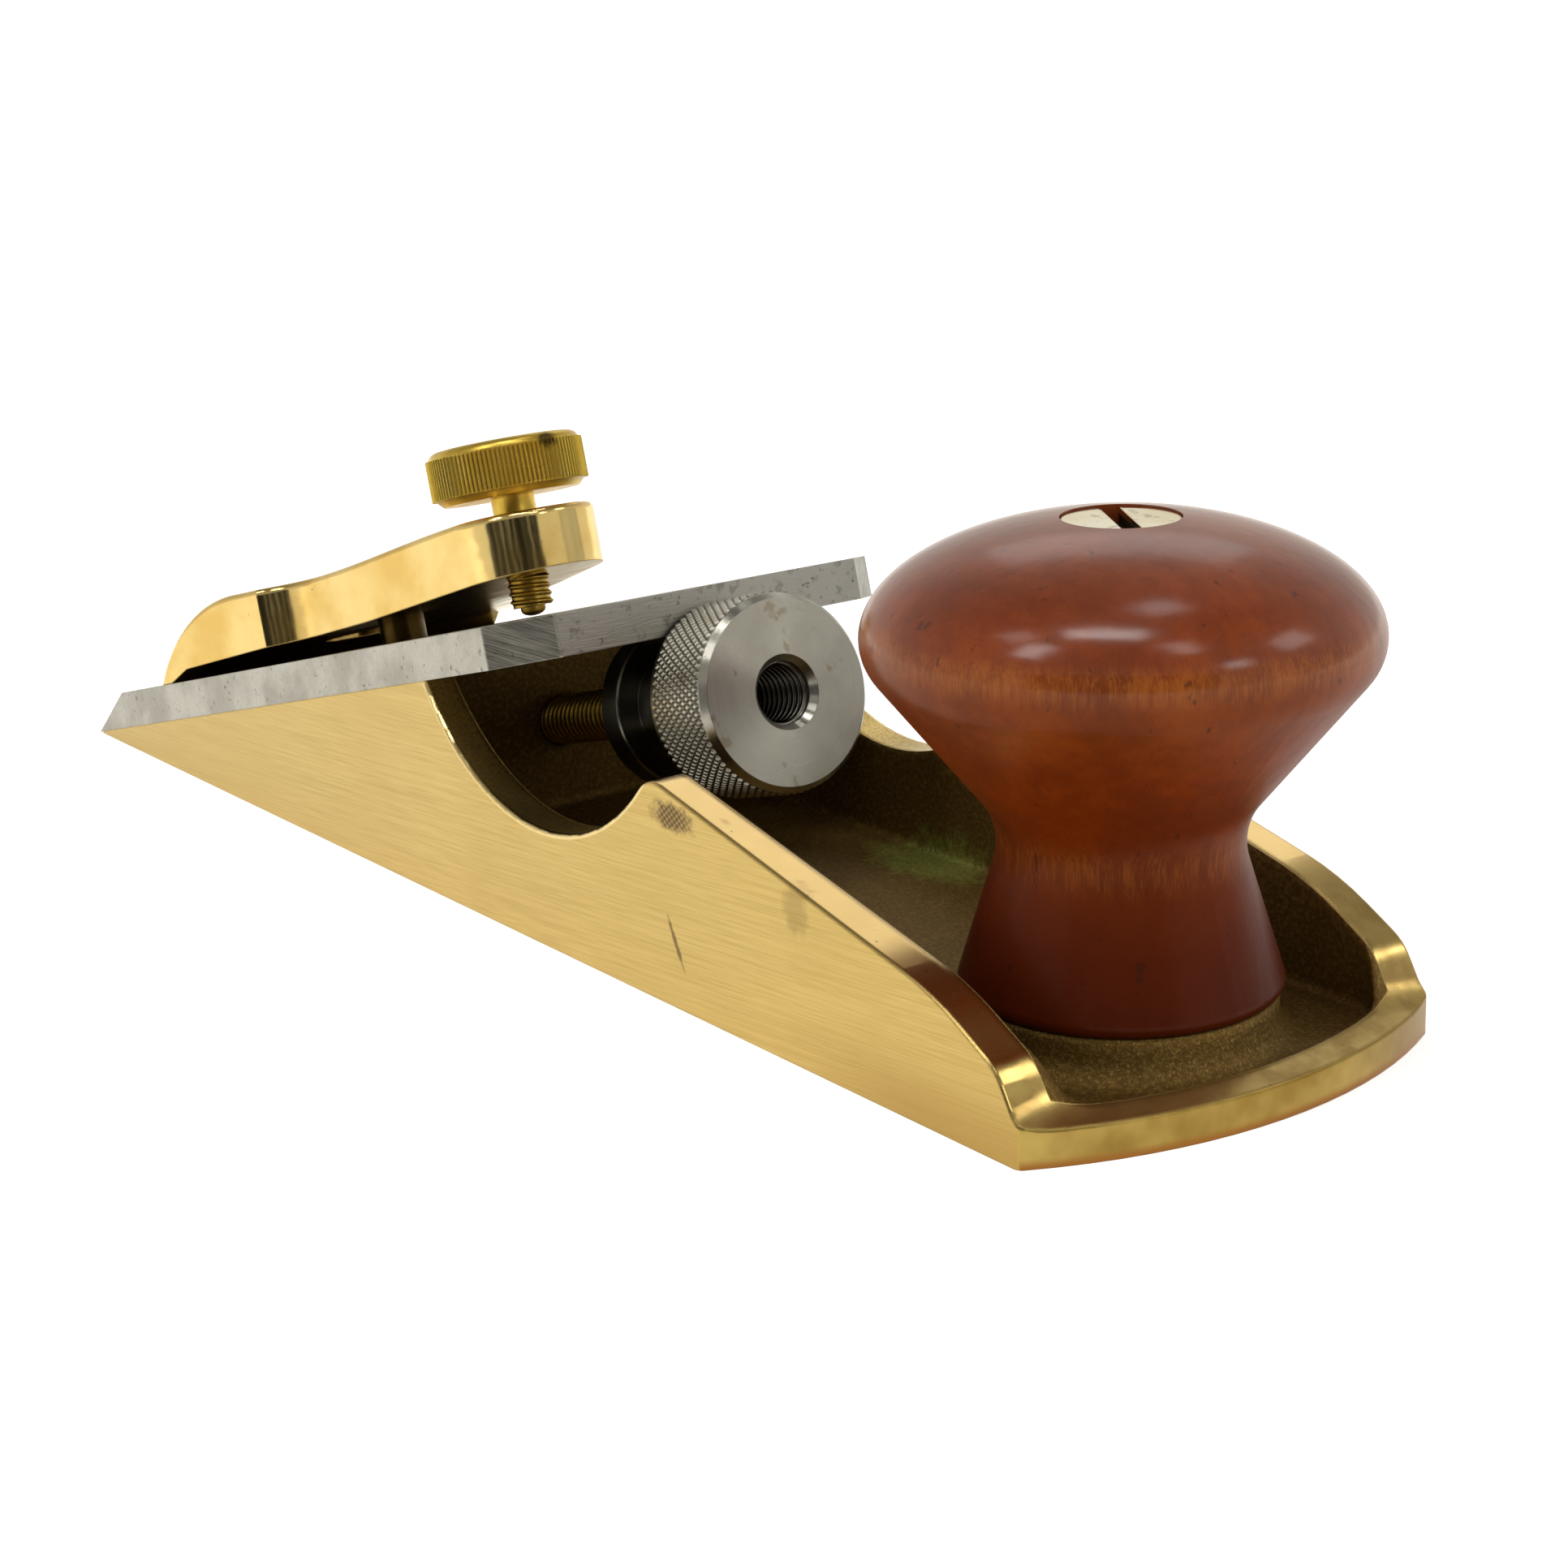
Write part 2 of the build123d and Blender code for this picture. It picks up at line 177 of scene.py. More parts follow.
def startMaterial(name):
    material = bpy.data.materials.new(name)
    material.use_nodes = True
    tree = material.node_tree
    shader = tree.nodes["Principled BSDF"]
    spot = addNode(tree, "ShaderNodeTexCoord").outputs["Object"]
    spot = vectorMaths(tree, "MULTIPLY", spot, (millimetres,) * 3)
    return material, tree, shader, spot


def bumpNormal(tree, height, strength, distance, normal=None):
    node = addNode(tree, "ShaderNodeBump")
    feed(tree, node.inputs["Height"], height)
    feed(tree, node.inputs["Strength"], strength)
    feed(tree, node.inputs["Distance"], distance)
    if normal is not None:
        feed(tree, node.inputs["Normal"], normal)
    return node.outputs["Normal"]


def easedEdges(tree, radius):
    node = addNode(tree, "ShaderNodeBevel", samples=6)
    feed(tree, node.inputs["Radius"], radius)
    return node.outputs["Normal"]


def setMetal(tree, shader, base, rough, normal):
    feed(tree, shader.inputs["Base Color"], base)
    shader.inputs["Metallic"].default_value = 1.0
    feed(tree, shader.inputs["Roughness"], rough)
    feed(tree, shader.inputs["Normal"], normal)


# Effects that several finishes share

# fine parallel lines: the coordinates are stretched across the lines
brushLines, source, sink = startTree(
    "brushLines", "ShaderNodeTree",
    [("Vector", "Vector", (0, 0, 0)), ("Across", "Vector", (1, 1, 1)), ("Fineness", "Float", 4.0)],
    ("Lines", "Float"),
)
stretched = vectorMaths(brushLines, "MULTIPLY", source["Vector"], source["Across"])
coarse = noise(brushLines, stretched, source["Fineness"], 3.0, 0.6)
fine = noise(brushLines, stretched, times(brushLines, source["Fineness"], 3.7))
feed(brushLines, sink["Lines"], times(brushLines, plus(brushLines, coarse, fine), 0.5))

# small scattered marks where the noise passes a level
markSpecks, source, sink = startTree(
    "markSpecks", "ShaderNodeTree",
    [("Vector", "Vector", (0, 0, 0)), ("Scale", "Float", 1.0),
     ("Level", "Float", 0.62), ("Softness", "Float", 0.06)],
    ("Mask", "Float"),
)
grain = noise(markSpecks, source["Vector"], source["Scale"], 3.0, 0.6)
upper = plus(markSpecks, source["Level"], source["Softness"])
feed(markSpecks, sink["Mask"], remap(markSpecks, grain, source["Level"], upper))

# one soft mark at a given place, with ragged edges
softMark, source, sink = startTree(
    "softMark", "ShaderNodeTree",
    [("Vector", "Vector", (0, 0, 0)), ("Centre", "Vector", (0, 0, 0)), ("Reach", "Vector", (1, 1, 1)),
     ("Ragged", "Float", 0.5), ("Scale", "Float", 1.0)],
    ("Mask", "Float"),
)
offset = vectorMaths(softMark, "SUBTRACT", source["Vector"], source["Centre"])
offset = vectorMaths(softMark, "DIVIDE", offset, source["Reach"])
distance = vectorMaths(softMark, "LENGTH", offset)
ragged = noise(softMark, source["Vector"], source["Scale"], 3.0, 0.6)
ragged = times(softMark, minus(softMark, ragged, 0.5), source["Ragged"])
feed(softMark, sink["Mask"], remap(softMark, plus(softMark, distance, ragged), 1.0, 0.4))

# slow change of tone and gloss that handling leaves on metal
handTone, source, sink = startTree(
    "handTone", "ShaderNodeTree",
    [("Vector", "Vector", (0, 0, 0)), ("Scale", "Float", 0.1)],
    ("Tone", "Float"),
)
cloud = noise(handTone, source["Vector"], source["Scale"], 4.0, 0.55)
feed(handTone, sink["Tone"], remap(handTone, cloud, 0.35, 0.68))
print("shared effects ready")


# Stage, light and camera

stage = {
    "floorReach": 5.0,
    "floorGlow": 0.60,  # part of the white that shadows don't take away
    "floorFarGlow": 1.0,
    "floorFarFrom": 0.16, "floorFarTo": 0.60,
    "floorWhite": 0.82,
    "roomLow": 0.86, "roomHigh": 0.18,  # level at the horizon and overhead
    "roomRise": (0.1, 0.9),
    "roomTint": colour(1.0, 0.965, 0.88),  # in reflections; the camera sees white
    "target": (0.0, 0.0, 0.02),
}
lamps = {  # name: azimuth, elevation, distance, width, height, radiance
    "overhead": (41.0, 78.0, 0.90, 0.34, 0.13, 9.5),
    "nearSpot": (2.0, 53.0, 0.90, 0.14, 0.26, 7.5),
    "nearHigh": (-24.0, 62.0, 0.90, 0.14, 0.16, 3.0),
    "heelSpot": (89.0, 57.0, 0.90, 0.14, 0.20, 4.0),
    "topSpot": (-177.0, 75.0, 0.90, 0.14, 0.16, 3.5),
    "farSide": (-134.0, 36.0, 1.20, 0.60, 0.32, 1.0),
    "heelFar": (138.0, 36.0, 1.00, 0.28, 0.22, 3.0),
    "faceSide": (102.0, 30.0, 1.00, 0.16, 0.14, 6.0),
}
cards = {  # cloths that only reflections see: azimuth, elevation, distance, width, height, darkest, lightest
    "frontCard": (50.0, 13.0, 0.75, 1.26, 0.44, 0.015, 0.24),
    "heelCard": (144.0, 10.0, 0.90, 0.60, 0.40, 0.50, 0.66),
}
cloth = {"edge": 0.75, "fadeFrom": 0.86, "folds": (16.0, 1.2, 1.0), "foldLevels": (0.42, 0.70)}
white = colour(1.0, 1.0, 1.0)


def facingPlace(azimuth, elevation, distance):
    # azimuth turns from the near side towards the heel; the place's -Z faces the plane
    turn = math.radians(azimuth)
    rise = math.radians(elevation)
    away = Vector((math.sin(turn) * math.cos(rise), -math.cos(turn) * math.cos(rise), math.sin(rise)))
    spin = away.to_track_quat("Z", "Y")
    return Matrix.Translation(Vector(stage["target"]) + away * distance) @ spin.to_matrix().to_4x4()


def addLamp(name, azimuth, elevation, distance, width, height, radiance):
    lamp = bpy.data.lights.new(name, "AREA")
    lamp.shape = "RECTANGLE"
    lamp.size = width
    lamp.size_y = height
    lamp.energy = radiance * math.pi * width * height
    holder = bpy.data.objects.new(name, lamp)
    holder.matrix_world = facingPlace(azimuth, elevation, distance)
    scene.collection.objects.link(holder)


def flatSheet(name, width, height, place, material):
    sheet = bmesh.new()
    sheet.loops.layers.uv.new("sheet")
    bmesh.ops.create_grid(sheet, x_segments=1, y_segments=1, size=0.5, calc_uvs=True)
    mesh = bpy.data.meshes.new(name)
    sheet.to_mesh(mesh)
    sheet.free()
    mesh.transform(place @ Matrix.Diagonal((width, height, 1.0, 1.0)))
    mesh.materials.append(material)
    holder = bpy.data.objects.new(name, mesh)
    scene.collection.objects.link(holder)
    return holder


def bareMaterial(name):
    material = bpy.data.materials.new(name)
    material.use_nodes = True
    tree = material.node_tree
    tree.nodes.clear()
    surface = addNode(tree, "ShaderNodeOutputMaterial").inputs["Surface"]
    return material, tree, surface


def paleFloor():
    material, tree, surface = bareMaterial("paleFloor")
    matt = addNode(tree, "ShaderNodeBsdfDiffuse")
    matt.inputs["Color"].default_value = colour(*[stage["floorWhite"]] * 3)
    glow = addNode(tree, "ShaderNodeEmission")
    rays = addNode(tree, "ShaderNodeLightPath").outputs
    seen = larger(tree, rays["Is Camera Ray"], rays["Is Glossy Ray"])
    seen = larger(tree, seen, rays["Is Transmission Ray"])
    spot = addNode(tree, "ShaderNodeTexCoord").outputs["Object"]
    level = remap(tree, vectorMaths(tree, "LENGTH", spot), stage["floorFarFrom"], stage["floorFarTo"],
                  stage["floorGlow"], stage["floorFarGlow"])
    feed(tree, glow.inputs["Strength"], times(tree, seen, level))
    feed(tree, glow.inputs["Color"], mixColour(tree, rays["Is Camera Ray"], stage["roomTint"], white))
    both = addNode(tree, "ShaderNodeAddShader")
    feed(tree, both.inputs[0], matt.outputs[0])
    feed(tree, both.inputs[1], glow.outputs[0])
    feed(tree, surface, both.outputs[0])
    return material


def foldedCloth(name, darkest, lightest):
    # upright folds, paler towards the edges
    material, tree, surface = bareMaterial(name)
    glow = addNode(tree, "ShaderNodeEmission")
    spot = addNode(tree, "ShaderNodeUVMap", uv_map="sheet").outputs[0]
    folds = noise(tree, vectorMaths(tree, "MULTIPLY", spot, cloth["folds"]), 1.0, 2.0, 0.6)
    level = remap(tree, folds, *cloth["foldLevels"], darkest, lightest)
    fromMiddle = vectorMaths(tree, "ABSOLUTE", vectorMaths(tree, "SUBTRACT", spot, (0.5, 0.5, 0.0)))
    axes = splitAxes(tree, fromMiddle)
    outermost = times(tree, larger(tree, axes[0], axes[1]), 2.0)
    fade = remap(tree, outermost, cloth["fadeFrom"], 1.0)
    feed(tree, glow.inputs["Strength"], mixValue(tree, fade, level, cloth["edge"]))
    feed(tree, surface, glow.outputs[0])
    return material


reach = stage["floorReach"] * 2.0
flatSheet("floor", reach, reach, Matrix.Identity(4), paleFloor())
for name, (azimuth, elevation, distance, width, height, darkest, lightest) in cards.items():
    folded = foldedCloth(name, darkest, lightest)
    card = flatSheet(name, width, height, facingPlace(azimuth, elevation, distance), folded)
    card.visible_camera = False
    card.visible_shadow = False
    card.visible_diffuse = False
for name, values in lamps.items():
    addLamp(name, *values)

world = bpy.data.worlds.new("softRoom")
scene.world = world
world.use_nodes = True
room = world.node_tree
roomGlow = room.nodes["Background"]
roomRays = addNode(room, "ShaderNodeLightPath").outputs
feed(room, roomGlow.inputs["Color"], mixColour(room, roomRays["Is Camera Ray"], stage["roomTint"], white))
upwards = splitAxes(room, addNode(room, "ShaderNodeTexCoord").outputs["Generated"])[2]
roomLevel = remap(room, upwards, *stage["roomRise"], stage["roomLow"], stage["roomHigh"], smooth=False)
feed(room, roomGlow.inputs["Strength"], mixValue(room, roomRays["Is Camera Ray"], roomLevel, 1.0))

camera = {
    "place": (0.224088, -0.146165, 0.085872),
    "azimuth": 54.46,
    "elevation": 16.4013,
    "roll": -1.8312,
    "lens": 69.43,
    "sensor": 36.0,
    "nearest": 0.01,
}


def addCamera():
    turn = math.radians(camera["azimuth"])
    rise = math.radians(camera["elevation"])
    roll = math.radians(camera["roll"])
    forward = Vector((-math.sin(turn) * math.cos(rise), math.cos(turn) * math.cos(rise), -math.sin(rise)))
    right = Vector((math.cos(turn), math.sin(turn), 0.0))
    upward = right.cross(forward)
    tiltedRight = right * math.cos(roll) + upward * math.sin(roll)
    tiltedUp = upward * math.cos(roll) - right * math.sin(roll)
    turned = Matrix((tiltedRight, tiltedUp, -forward)).transposed().to_4x4()
    lens = bpy.data.cameras.new("photoView")
    lens.lens = camera["lens"]
    lens.sensor_width = camera["sensor"]
    lens.clip_start = camera["nearest"]
    holder = bpy.data.objects.new("photoView", lens)
    holder.matrix_world = Matrix.Translation(camera["place"]) @ turned
    scene.collection.objects.link(holder)
    scene.camera = holder


addCamera()
scene.view_settings.view_transform = "Standard"
print("stage, lamps and camera ready")


# Finishes. Lengths in the patterns are millimetres.

bronze = {
    "brushed": colour(0.655, 0.475, 0.165),
    "brushedDark": colour(0.525, 0.365, 0.11),
    "paintedFootShade": colour(0.42, 0.265, 0.07),
    "polished": colour(0.66, 0.46, 0.17),
    "rim": colour(0.62, 0.45, 0.155),
    "scallop": colour(0.66, 0.48, 0.15),
    "arrisHighlight": colour(0.82, 0.64, 0.28),
    "stain": colour(0.34, 0.20, 0.06),
    "tarnish": colour(0.10, 0.055, 0.025),
    "heel": colour(0.26, 0.160, 0.032),
    "heelLight": colour(0.49, 0.35, 0.100),
    "heelFoot": colour(0.30, 0.13, 0.03),
    "cast": colour(0.16, 0.090, 0.017),
    "castLight": colour(0.28, 0.175, 0.042),
    "castBright": colour(0.60, 0.43, 0.14),
    "verdigris": colour(0.34, 0.37, 0.085),
    # where the forms lie
    "pocketHalf": 16.75, "pocketFloor": 2.0, "pocketDraft": 0.0437, "pocketFront": -16.4,
    "heelCentre": 37.322, "heelRadius": 42.878, "rimInner": 40.378, "sideFace": 20.65,
    "scallopAxis": (12.0, 0.0, 32.4), "scallopRadius": 22.0,
    "padAxis": (62.7, 0.0, 4.6), "padReach": 12.6, "coveWidth": 1.3,
    # where a change of finish starts and is complete, along the body or up it
    "footUp": (7.0, 0.5), "footAlong": (44.0, 66.0), "toeAlong": (-5.0, -75.0), "rearAlong": (60.0, 70.0),
    "shoulder": ((71.0, 72.2), (75.0, 73.8)), "fallAlong": (73.8, 75.5), "heelUp": (0.9, 0.1),
    # how far from an edge a finish starts and is complete
    "onFace": (-0.22, -0.04), "inPocket": (0.16, 0.04), "inScallop": (0.25, 0.08),
    "arrisIn": (0.50, 0.30), "arrisOut": (-0.50, -0.30), "easeChange": (1.0, 1.7),
    "aboveSole": 1.0, "heelBehind": 30.0,
    # roughness, in pairs where it varies
    "wallRough": 0.16, "rimRough": (0.28, 0.36), "shoulderRough": 0.17, "fallRough": (0.36, 0.46),
    "scallopRough": (0.26, 0.40), "heelRough": 0.28, "sideRough": (0.24, 0.36), "arrisRough": 0.14,
    "castRough": 0.52, "castMetal": 0.75,
    # patterns and single marks
    "lines": {"Across": (0.014, 1.0, 1.0), "Fineness": 3.6}, "lineSlope": 0.07,
    "specks": {"Scale": 1.3, "Level": 0.70, "Softness": 0.05},
    "grains": {"Scale": 5.0, "Level": 0.58, "Softness": 0.12},
    "paintedKnobReflection": {"Centre": (38.5, -19.3, 18.0), "Reach": (1.0, 0.55, 2.0), "Ragged": 0.4, "Scale": 1.0},
    "smudge": {"Centre": (33.2, -20.65, 16.2), "Reach": (3.6, 2.0, 1.5), "Ragged": 1.1, "Scale": 0.8},
    "weaveAlong": 9.0, "weaveUp": 11.0,
    "scratch": {"Centre": (35.6, -20.65, 5.6), "Reach": (0.4, 2.0, 2.6), "Ragged": 0.9, "Scale": 1.8},
    "scratchSlope": 0.5,
    "faint": {"Centre": (49.3, -20.65, 12.7), "Reach": (2.0, 2.0, 2.8), "Ragged": 1.0, "Scale": 1.2},
    "green": {"Centre": (21.0, 14.6, 1.8), "Reach": (9.0, 5.0, 3.8), "Ragged": 1.0, "Scale": 0.8},
    # softened edges, in metres
    "innerEase": 0.0010, "outerEase": 0.00025, "arrisEase": 0.00042,
    "bump": (0.6, 0.00022),  # strength, and height in metres
}


def bronzeFinish():
    material, tree, shader, spot = startMaterial("bronze")
    x, y, z = splitAxes(tree, spot)
    fromMiddle = maths(tree, "ABSOLUTE", y)
    # the drafted pocket, its walls and its rim: rough cast
    spread = times(tree, minus(tree, z, bronze["pocketFloor"]), bronze["pocketDraft"])
    sideways = minus(tree, minus(tree, fromMiddle, spread), bronze["pocketHalf"])
    fromCentre = minus(tree, x, bronze["heelCentre"])
    behind = larger(tree, fromCentre, 0.0)
    radius = maths(tree, "SQRT", plus(tree, times(tree, behind, behind), times(tree, y, y)))
    outwards = minus(tree, minus(tree, radius, spread), bronze["rimInner"])
    outwards = times(tree, outwards, maths(tree, "GREATER_THAN", fromCentre, 0.0))
    ahead = minus(tree, bronze["pocketFront"], plus(tree, x, spread))
    leaving = larger(tree, larger(tree, sideways, outwards), ahead)
    inside = remap(tree, leaving, *bronze["inPocket"])
    inside = times(tree, inside, maths(tree, "GREATER_THAN", z, bronze["aboveSole"]))
    # flat sides: brushed lengthwise, with painted shade browning them low down towards the heel
    fromSide = minus(tree, fromMiddle, bronze["sideFace"])
    side = remap(tree, fromSide, *bronze["onFace"])
    tilted = joinAxes(tree, x, 0.0, minus(tree, z, times(tree, x, bronze["lineSlope"])))
    lines = placeGroup(tree, brushLines, Vector=tilted, **bronze["lines"])
    tone = placeGroup(tree, handTone, Vector=spot, Scale=0.09)
    brushed = mixColour(tree, remap(tree, lines, 0.35, 0.62), bronze["brushedDark"], bronze["brushed"])
    brushed = tint(tree, brushed, bronze["brushedDark"], tone, 0.2)
    # painted shade: the sides darken to brown near the floor towards the heel
    footShadeMask = times(tree, remap(tree, z, *bronze["footUp"]), remap(tree, x, *bronze["footAlong"]))
    brushed = tint(tree, brushed, bronze["paintedFootShade"], footShadeMask, 0.8)
    brushed = tint(tree, brushed, bronze["brushedDark"], remap(tree, x, *bronze["toeAlong"]), 0.45)
    # wall tops are clean, the fall and the rim are duller and stained
    rear = remap(tree, x, *bronze["rearAlong"])
    specks = placeGroup(tree, markSpecks, Vector=spot, **bronze["specks"])
    cloud = placeGroup(tree, handTone, Vector=spot, Scale=0.32)
    polished = mixColour(tree, rear, bronze["polished"], bronze["rim"])
    polished = tint(tree, polished, bronze["stain"], cloud, mixValue(tree, rear, 0.12, 0.6))
    polished = tint(tree, polished, bronze["tarnish"], specks, 0.6)
    # painted reflection: a soft dark oval on the near wall top where the knob's reflection begins
    paintedKnobReflection = placeGroup(tree, softMark, Vector=spot, **bronze["paintedKnobReflection"])
    polished = tint(tree, polished, bronze["stain"], paintedKnobReflection, 0.7)
    # milled finger scallops, with a painted highlight along the arris where they meet the sides
    fromAxis = vectorMaths(tree, "SUBTRACT", spot, bronze["scallopAxis"])
    fromAxis = vectorMaths(tree, "MULTIPLY", fromAxis, (1.0, 0.0, 1.0))
    fromScallop = minus(tree, vectorMaths(tree, "LENGTH", fromAxis), bronze["scallopRadius"])
    scallop = remap(tree, fromScallop, *bronze["inScallop"])
    grit = noise(tree, spot, 3.2, 3.0, 0.6)
    milled = tint(tree, bronze["scallop"], bronze["stain"], remap(tree, grit, 0.40, 0.66), 0.55)
    polished = mixColour(tree, scallop, polished, milled)
    arrisHighlight = times(tree, remap(tree, fromScallop, *bronze["arrisIn"]),
                  remap(tree, fromSide, *bronze["arrisOut"]))
    # the upright face of the heel rim, darker and mottled, browner at its foot
    heel = remap(tree, minus(tree, radius, bronze["heelRadius"]), *bronze["onFace"])
    heel = times(tree, heel, maths(tree, "GREATER_THAN", fromCentre, bronze["heelBehind"]))
    worn = mixColour(tree, tone, bronze["heel"], bronze["heelLight"])
    worn = mixColour(tree, remap(tree, z, *bronze["heelUp"]), worn, bronze["heelFoot"])
    polished = mixColour(tree, heel, polished, worn)
    outer = mixColour(tree, side, polished, brushed)
    # painted highlight: a lighter colour along the arris
    outer = mixColour(tree, arrisHighlight, outer, bronze["arrisHighlight"])
    # marks of use on the near side
    smudge = placeGroup(tree, softMark, Vector=spot, **bronze["smudge"])
    weaveAlong = maths(tree, "SINE", times(tree, x, bronze["weaveAlong"]))
    weaveUp = maths(tree, "SINE", times(tree, z, bronze["weaveUp"]))
    weave = remap(tree, times(tree, weaveAlong, weaveUp), -0.9, 0.5, 0.55, 1.0)
    smudge = times(tree, smudge, weave)
    slanted = joinAxes(tree, plus(tree, x, times(tree, z, bronze["scratchSlope"])), y, z)
    scratch = placeGroup(tree, softMark, Vector=slanted, **bronze["scratch"])
    faint = placeGroup(tree, softMark, Vector=spot, **bronze["faint"])
    marks = larger(tree, smudge, times(tree, scratch, 0.8))
    marks = larger(tree, marks, times(tree, faint, 0.3))
    outer = tint(tree, outer, bronze["tarnish"], marks, 0.92)
    # cast skin inside, green by the far wall, with bright grains round the knob's pad
    lumps = noise(tree, spot, 2.6, 4.0, 0.65)
    cast = mixColour(tree, remap(tree, lumps, 0.42, 0.70), bronze["cast"], bronze["castLight"])
    green = placeGroup(tree, softMark, Vector=spot, **bronze["green"])
    cast = tint(tree, cast, bronze["verdigris"], green, remap(tree, lumps, 0.36, 0.62, 0.45, 0.95))
    fromPad = vectorMaths(tree, "LENGTH", vectorMaths(tree, "SUBTRACT", spot, bronze["padAxis"]))
    cove = remap(tree, minus(tree, fromPad, bronze["padReach"]), bronze["coveWidth"], 0.0)
    grains = placeGroup(tree, markSpecks, Vector=spot, **bronze["grains"])
    cast = tint(tree, cast, bronze["castBright"], times(tree, cove, grains), 0.7)
    feed(tree, shader.inputs["Base Color"], mixColour(tree, inside, outer, cast))
    feed(tree, shader.inputs["Metallic"], mixValue(tree, inside, 1.0, bronze["castMetal"]))
    rough = mixValue(tree, rear, bronze["wallRough"], mixValue(tree, cloud, *bronze["rimRough"]))
    rough = mixValue(tree, band(tree, x, *bronze["shoulder"]), rough, bronze["shoulderRough"])
    fall = remap(tree, x, *bronze["fallAlong"])
    rough = mixValue(tree, fall, rough, mixValue(tree, cloud, *bronze["fallRough"]))
    rough = mixValue(tree, scallop, rough, mixValue(tree, grit, *bronze["scallopRough"]))
    rough = mixValue(tree, heel, rough, bronze["heelRough"])
    rough = mixValue(tree, side, rough, mixValue(tree, lines, *bronze["sideRough"]))
    rough = mixValue(tree, arrisHighlight, rough, bronze["arrisRough"])
    rough = plus(tree, rough, times(tree, marks, 0.1))
    feed(tree, shader.inputs["Roughness"], mixValue(tree, inside, rough, bronze["castRough"]))
    height = mixValue(tree, inside, times(tree, times(tree, lines, side), 0.1), lumps)
    ease = remap(tree, leaving, *bronze["easeChange"], bronze["innerEase"], bronze["outerEase"])
    ease = mixValue(tree, arrisHighlight, ease, bronze["arrisEase"])
    skin = bumpNormal(tree, height, *bronze["bump"], easedEdges(tree, ease))
    feed(tree, shader.inputs["Normal"], skin)
    return material


brass = {
    "bright": colour(0.84, 0.63, 0.25),
    "deep": colour(0.72, 0.48, 0.14),
    "dull": colour(0.64, 0.43, 0.06),
    "worn": colour(0.78, 0.55, 0.11),
    "pale": colour(0.98, 0.93, 0.70),
    "paleDeep": colour(0.86, 0.72, 0.44),
    "stain": colour(0.14, 0.075, 0.02),
    "dirtAndShade": colour(0.05, 0.028, 0.009),
    "capSpecks": 0.69, "nutSpecks": 0.58,  # the lower, the more
    "capDirtBelow": -50.0, "nutDirtBelow": 41.2,  # only the nut's slot holds dirt
    "polishedRough": (0.10, 0.16), "dirtRough": 0.5, "turnedRough": (0.34, 0.26),
    "ripple": (0.35, 0.0002), "scuffs": (0.14, 0.0001),  # strength, and height in metres
    "polishedEase": 0.00022, "turnedEase": 0.00012,
    "headStain": {"Centre": (-17.8, 0.6, 37.5), "Reach": (1.6, 1.6, 1.1)}, "headStainShare": 0.85,
    # painted shade: darkens the whole hold-down screw, which sits in shade under the cap
    "screwShade": {"Centre": (-46.4, 0.0, 12.0), "Reach": (40.0, 40.0, 40.0)}, "screwShadeShare": 0.95,
}


def polishedBrassFinish(name, bright, deep, speckLevel, dirtBelow):
    material, tree, shader, spot = startMaterial(name)
    dirtAndShade = remap(tree, splitAxes(tree, spot)[2], dirtBelow, dirtBelow - 0.2)
    tone = placeGroup(tree, handTone, Vector=spot, Scale=0.14)
    specks = placeGroup(tree, markSpecks, Vector=spot, Scale=0.7, Level=speckLevel, Softness=0.05)
    base = mixColour(tree, tone, bright, deep)
    base = tint(tree, base, brass["stain"], specks, 0.5)
    base = mixColour(tree, dirtAndShade, base, brass["dirtAndShade"])
    rough = mixValue(tree, dirtAndShade, mixValue(tree, tone, *brass["polishedRough"]), brass["dirtRough"])
    edges = easedEdges(tree, brass["polishedEase"])
    ripple = bumpNormal(tree, noise(tree, spot, 0.22), *brass["ripple"], edges)
    setMetal(tree, shader, base, rough, ripple)
    return material


def turnedBrassFinish(name, stainAndShadeMark, stainAndShadeShare):
    material, tree, shader, spot = startMaterial(name)
    tone = placeGroup(tree, handTone, Vector=spot, Scale=0.35)
    specks = placeGroup(tree, markSpecks, Vector=spot, Scale=1.6, Level=0.6, Softness=0.1)
    # a soft dark mark: a real stain on the thumb screw's head, and painted shade over the whole hold-down
    # screw
    stain = placeGroup(tree, softMark, Vector=spot, Ragged=0.9, Scale=1.2, **stainAndShadeMark)
    grimeAndShade = addNode(tree, "ShaderNodeAttribute", attribute_name="grimeAndShade").outputs["Fac"]
    base = mixColour(tree, tone, brass["dull"], brass["worn"])
    base = tint(tree, base, brass["stain"], specks, 0.15)
    base = tint(tree, base, brass["dirtAndShade"], stain, stainAndShadeShare)
    base = tint(tree, base, brass["stain"], grimeAndShade, 0.75)
    edges = easedEdges(tree, brass["turnedEase"])
    scuffs = bumpNormal(tree, noise(tree, spot, 3.0, 3.0, 0.6), *brass["scuffs"], edges)
    setMetal(tree, shader, base, mixValue(tree, tone, *brass["turnedRough"]), scuffs)
    return material


steel = {
    "flat": colour(0.485, 0.465, 0.41),
    "ground": colour(0.39, 0.37, 0.32),
    "dark": colour(0.27, 0.26, 0.225),
    "clip": colour(0.31, 0.295, 0.255),
    "clipDark": colour(0.15, 0.14, 0.12),
    "end": colour(0.37, 0.355, 0.315),
    "spot": colour(0.06, 0.052, 0.045),
    "along": (0.965926, 0.0, 0.258819), "alongStart": 77.467,
    "length": 93.5, "clipLine": 109.45, "clipSlope": 0.42, "onFace": (-0.25, -0.08),
    "rough": (0.30, 0.42), "bump": (0.3, 0.0001), "ease": 0.00016,
    "lines": {"Across": (1.0, 0.04, 0.5), "Fineness": 4.0},
    "clipLines": {"Across": (1.0, 0.05, 1.0), "Fineness": 3.2},
    "specks": {"Scale": 1.3, "Level": 0.62, "Softness": 0.08},
    "mottle": {"Scale": 0.75, "Level": 0.56, "Softness": 0.14},
}


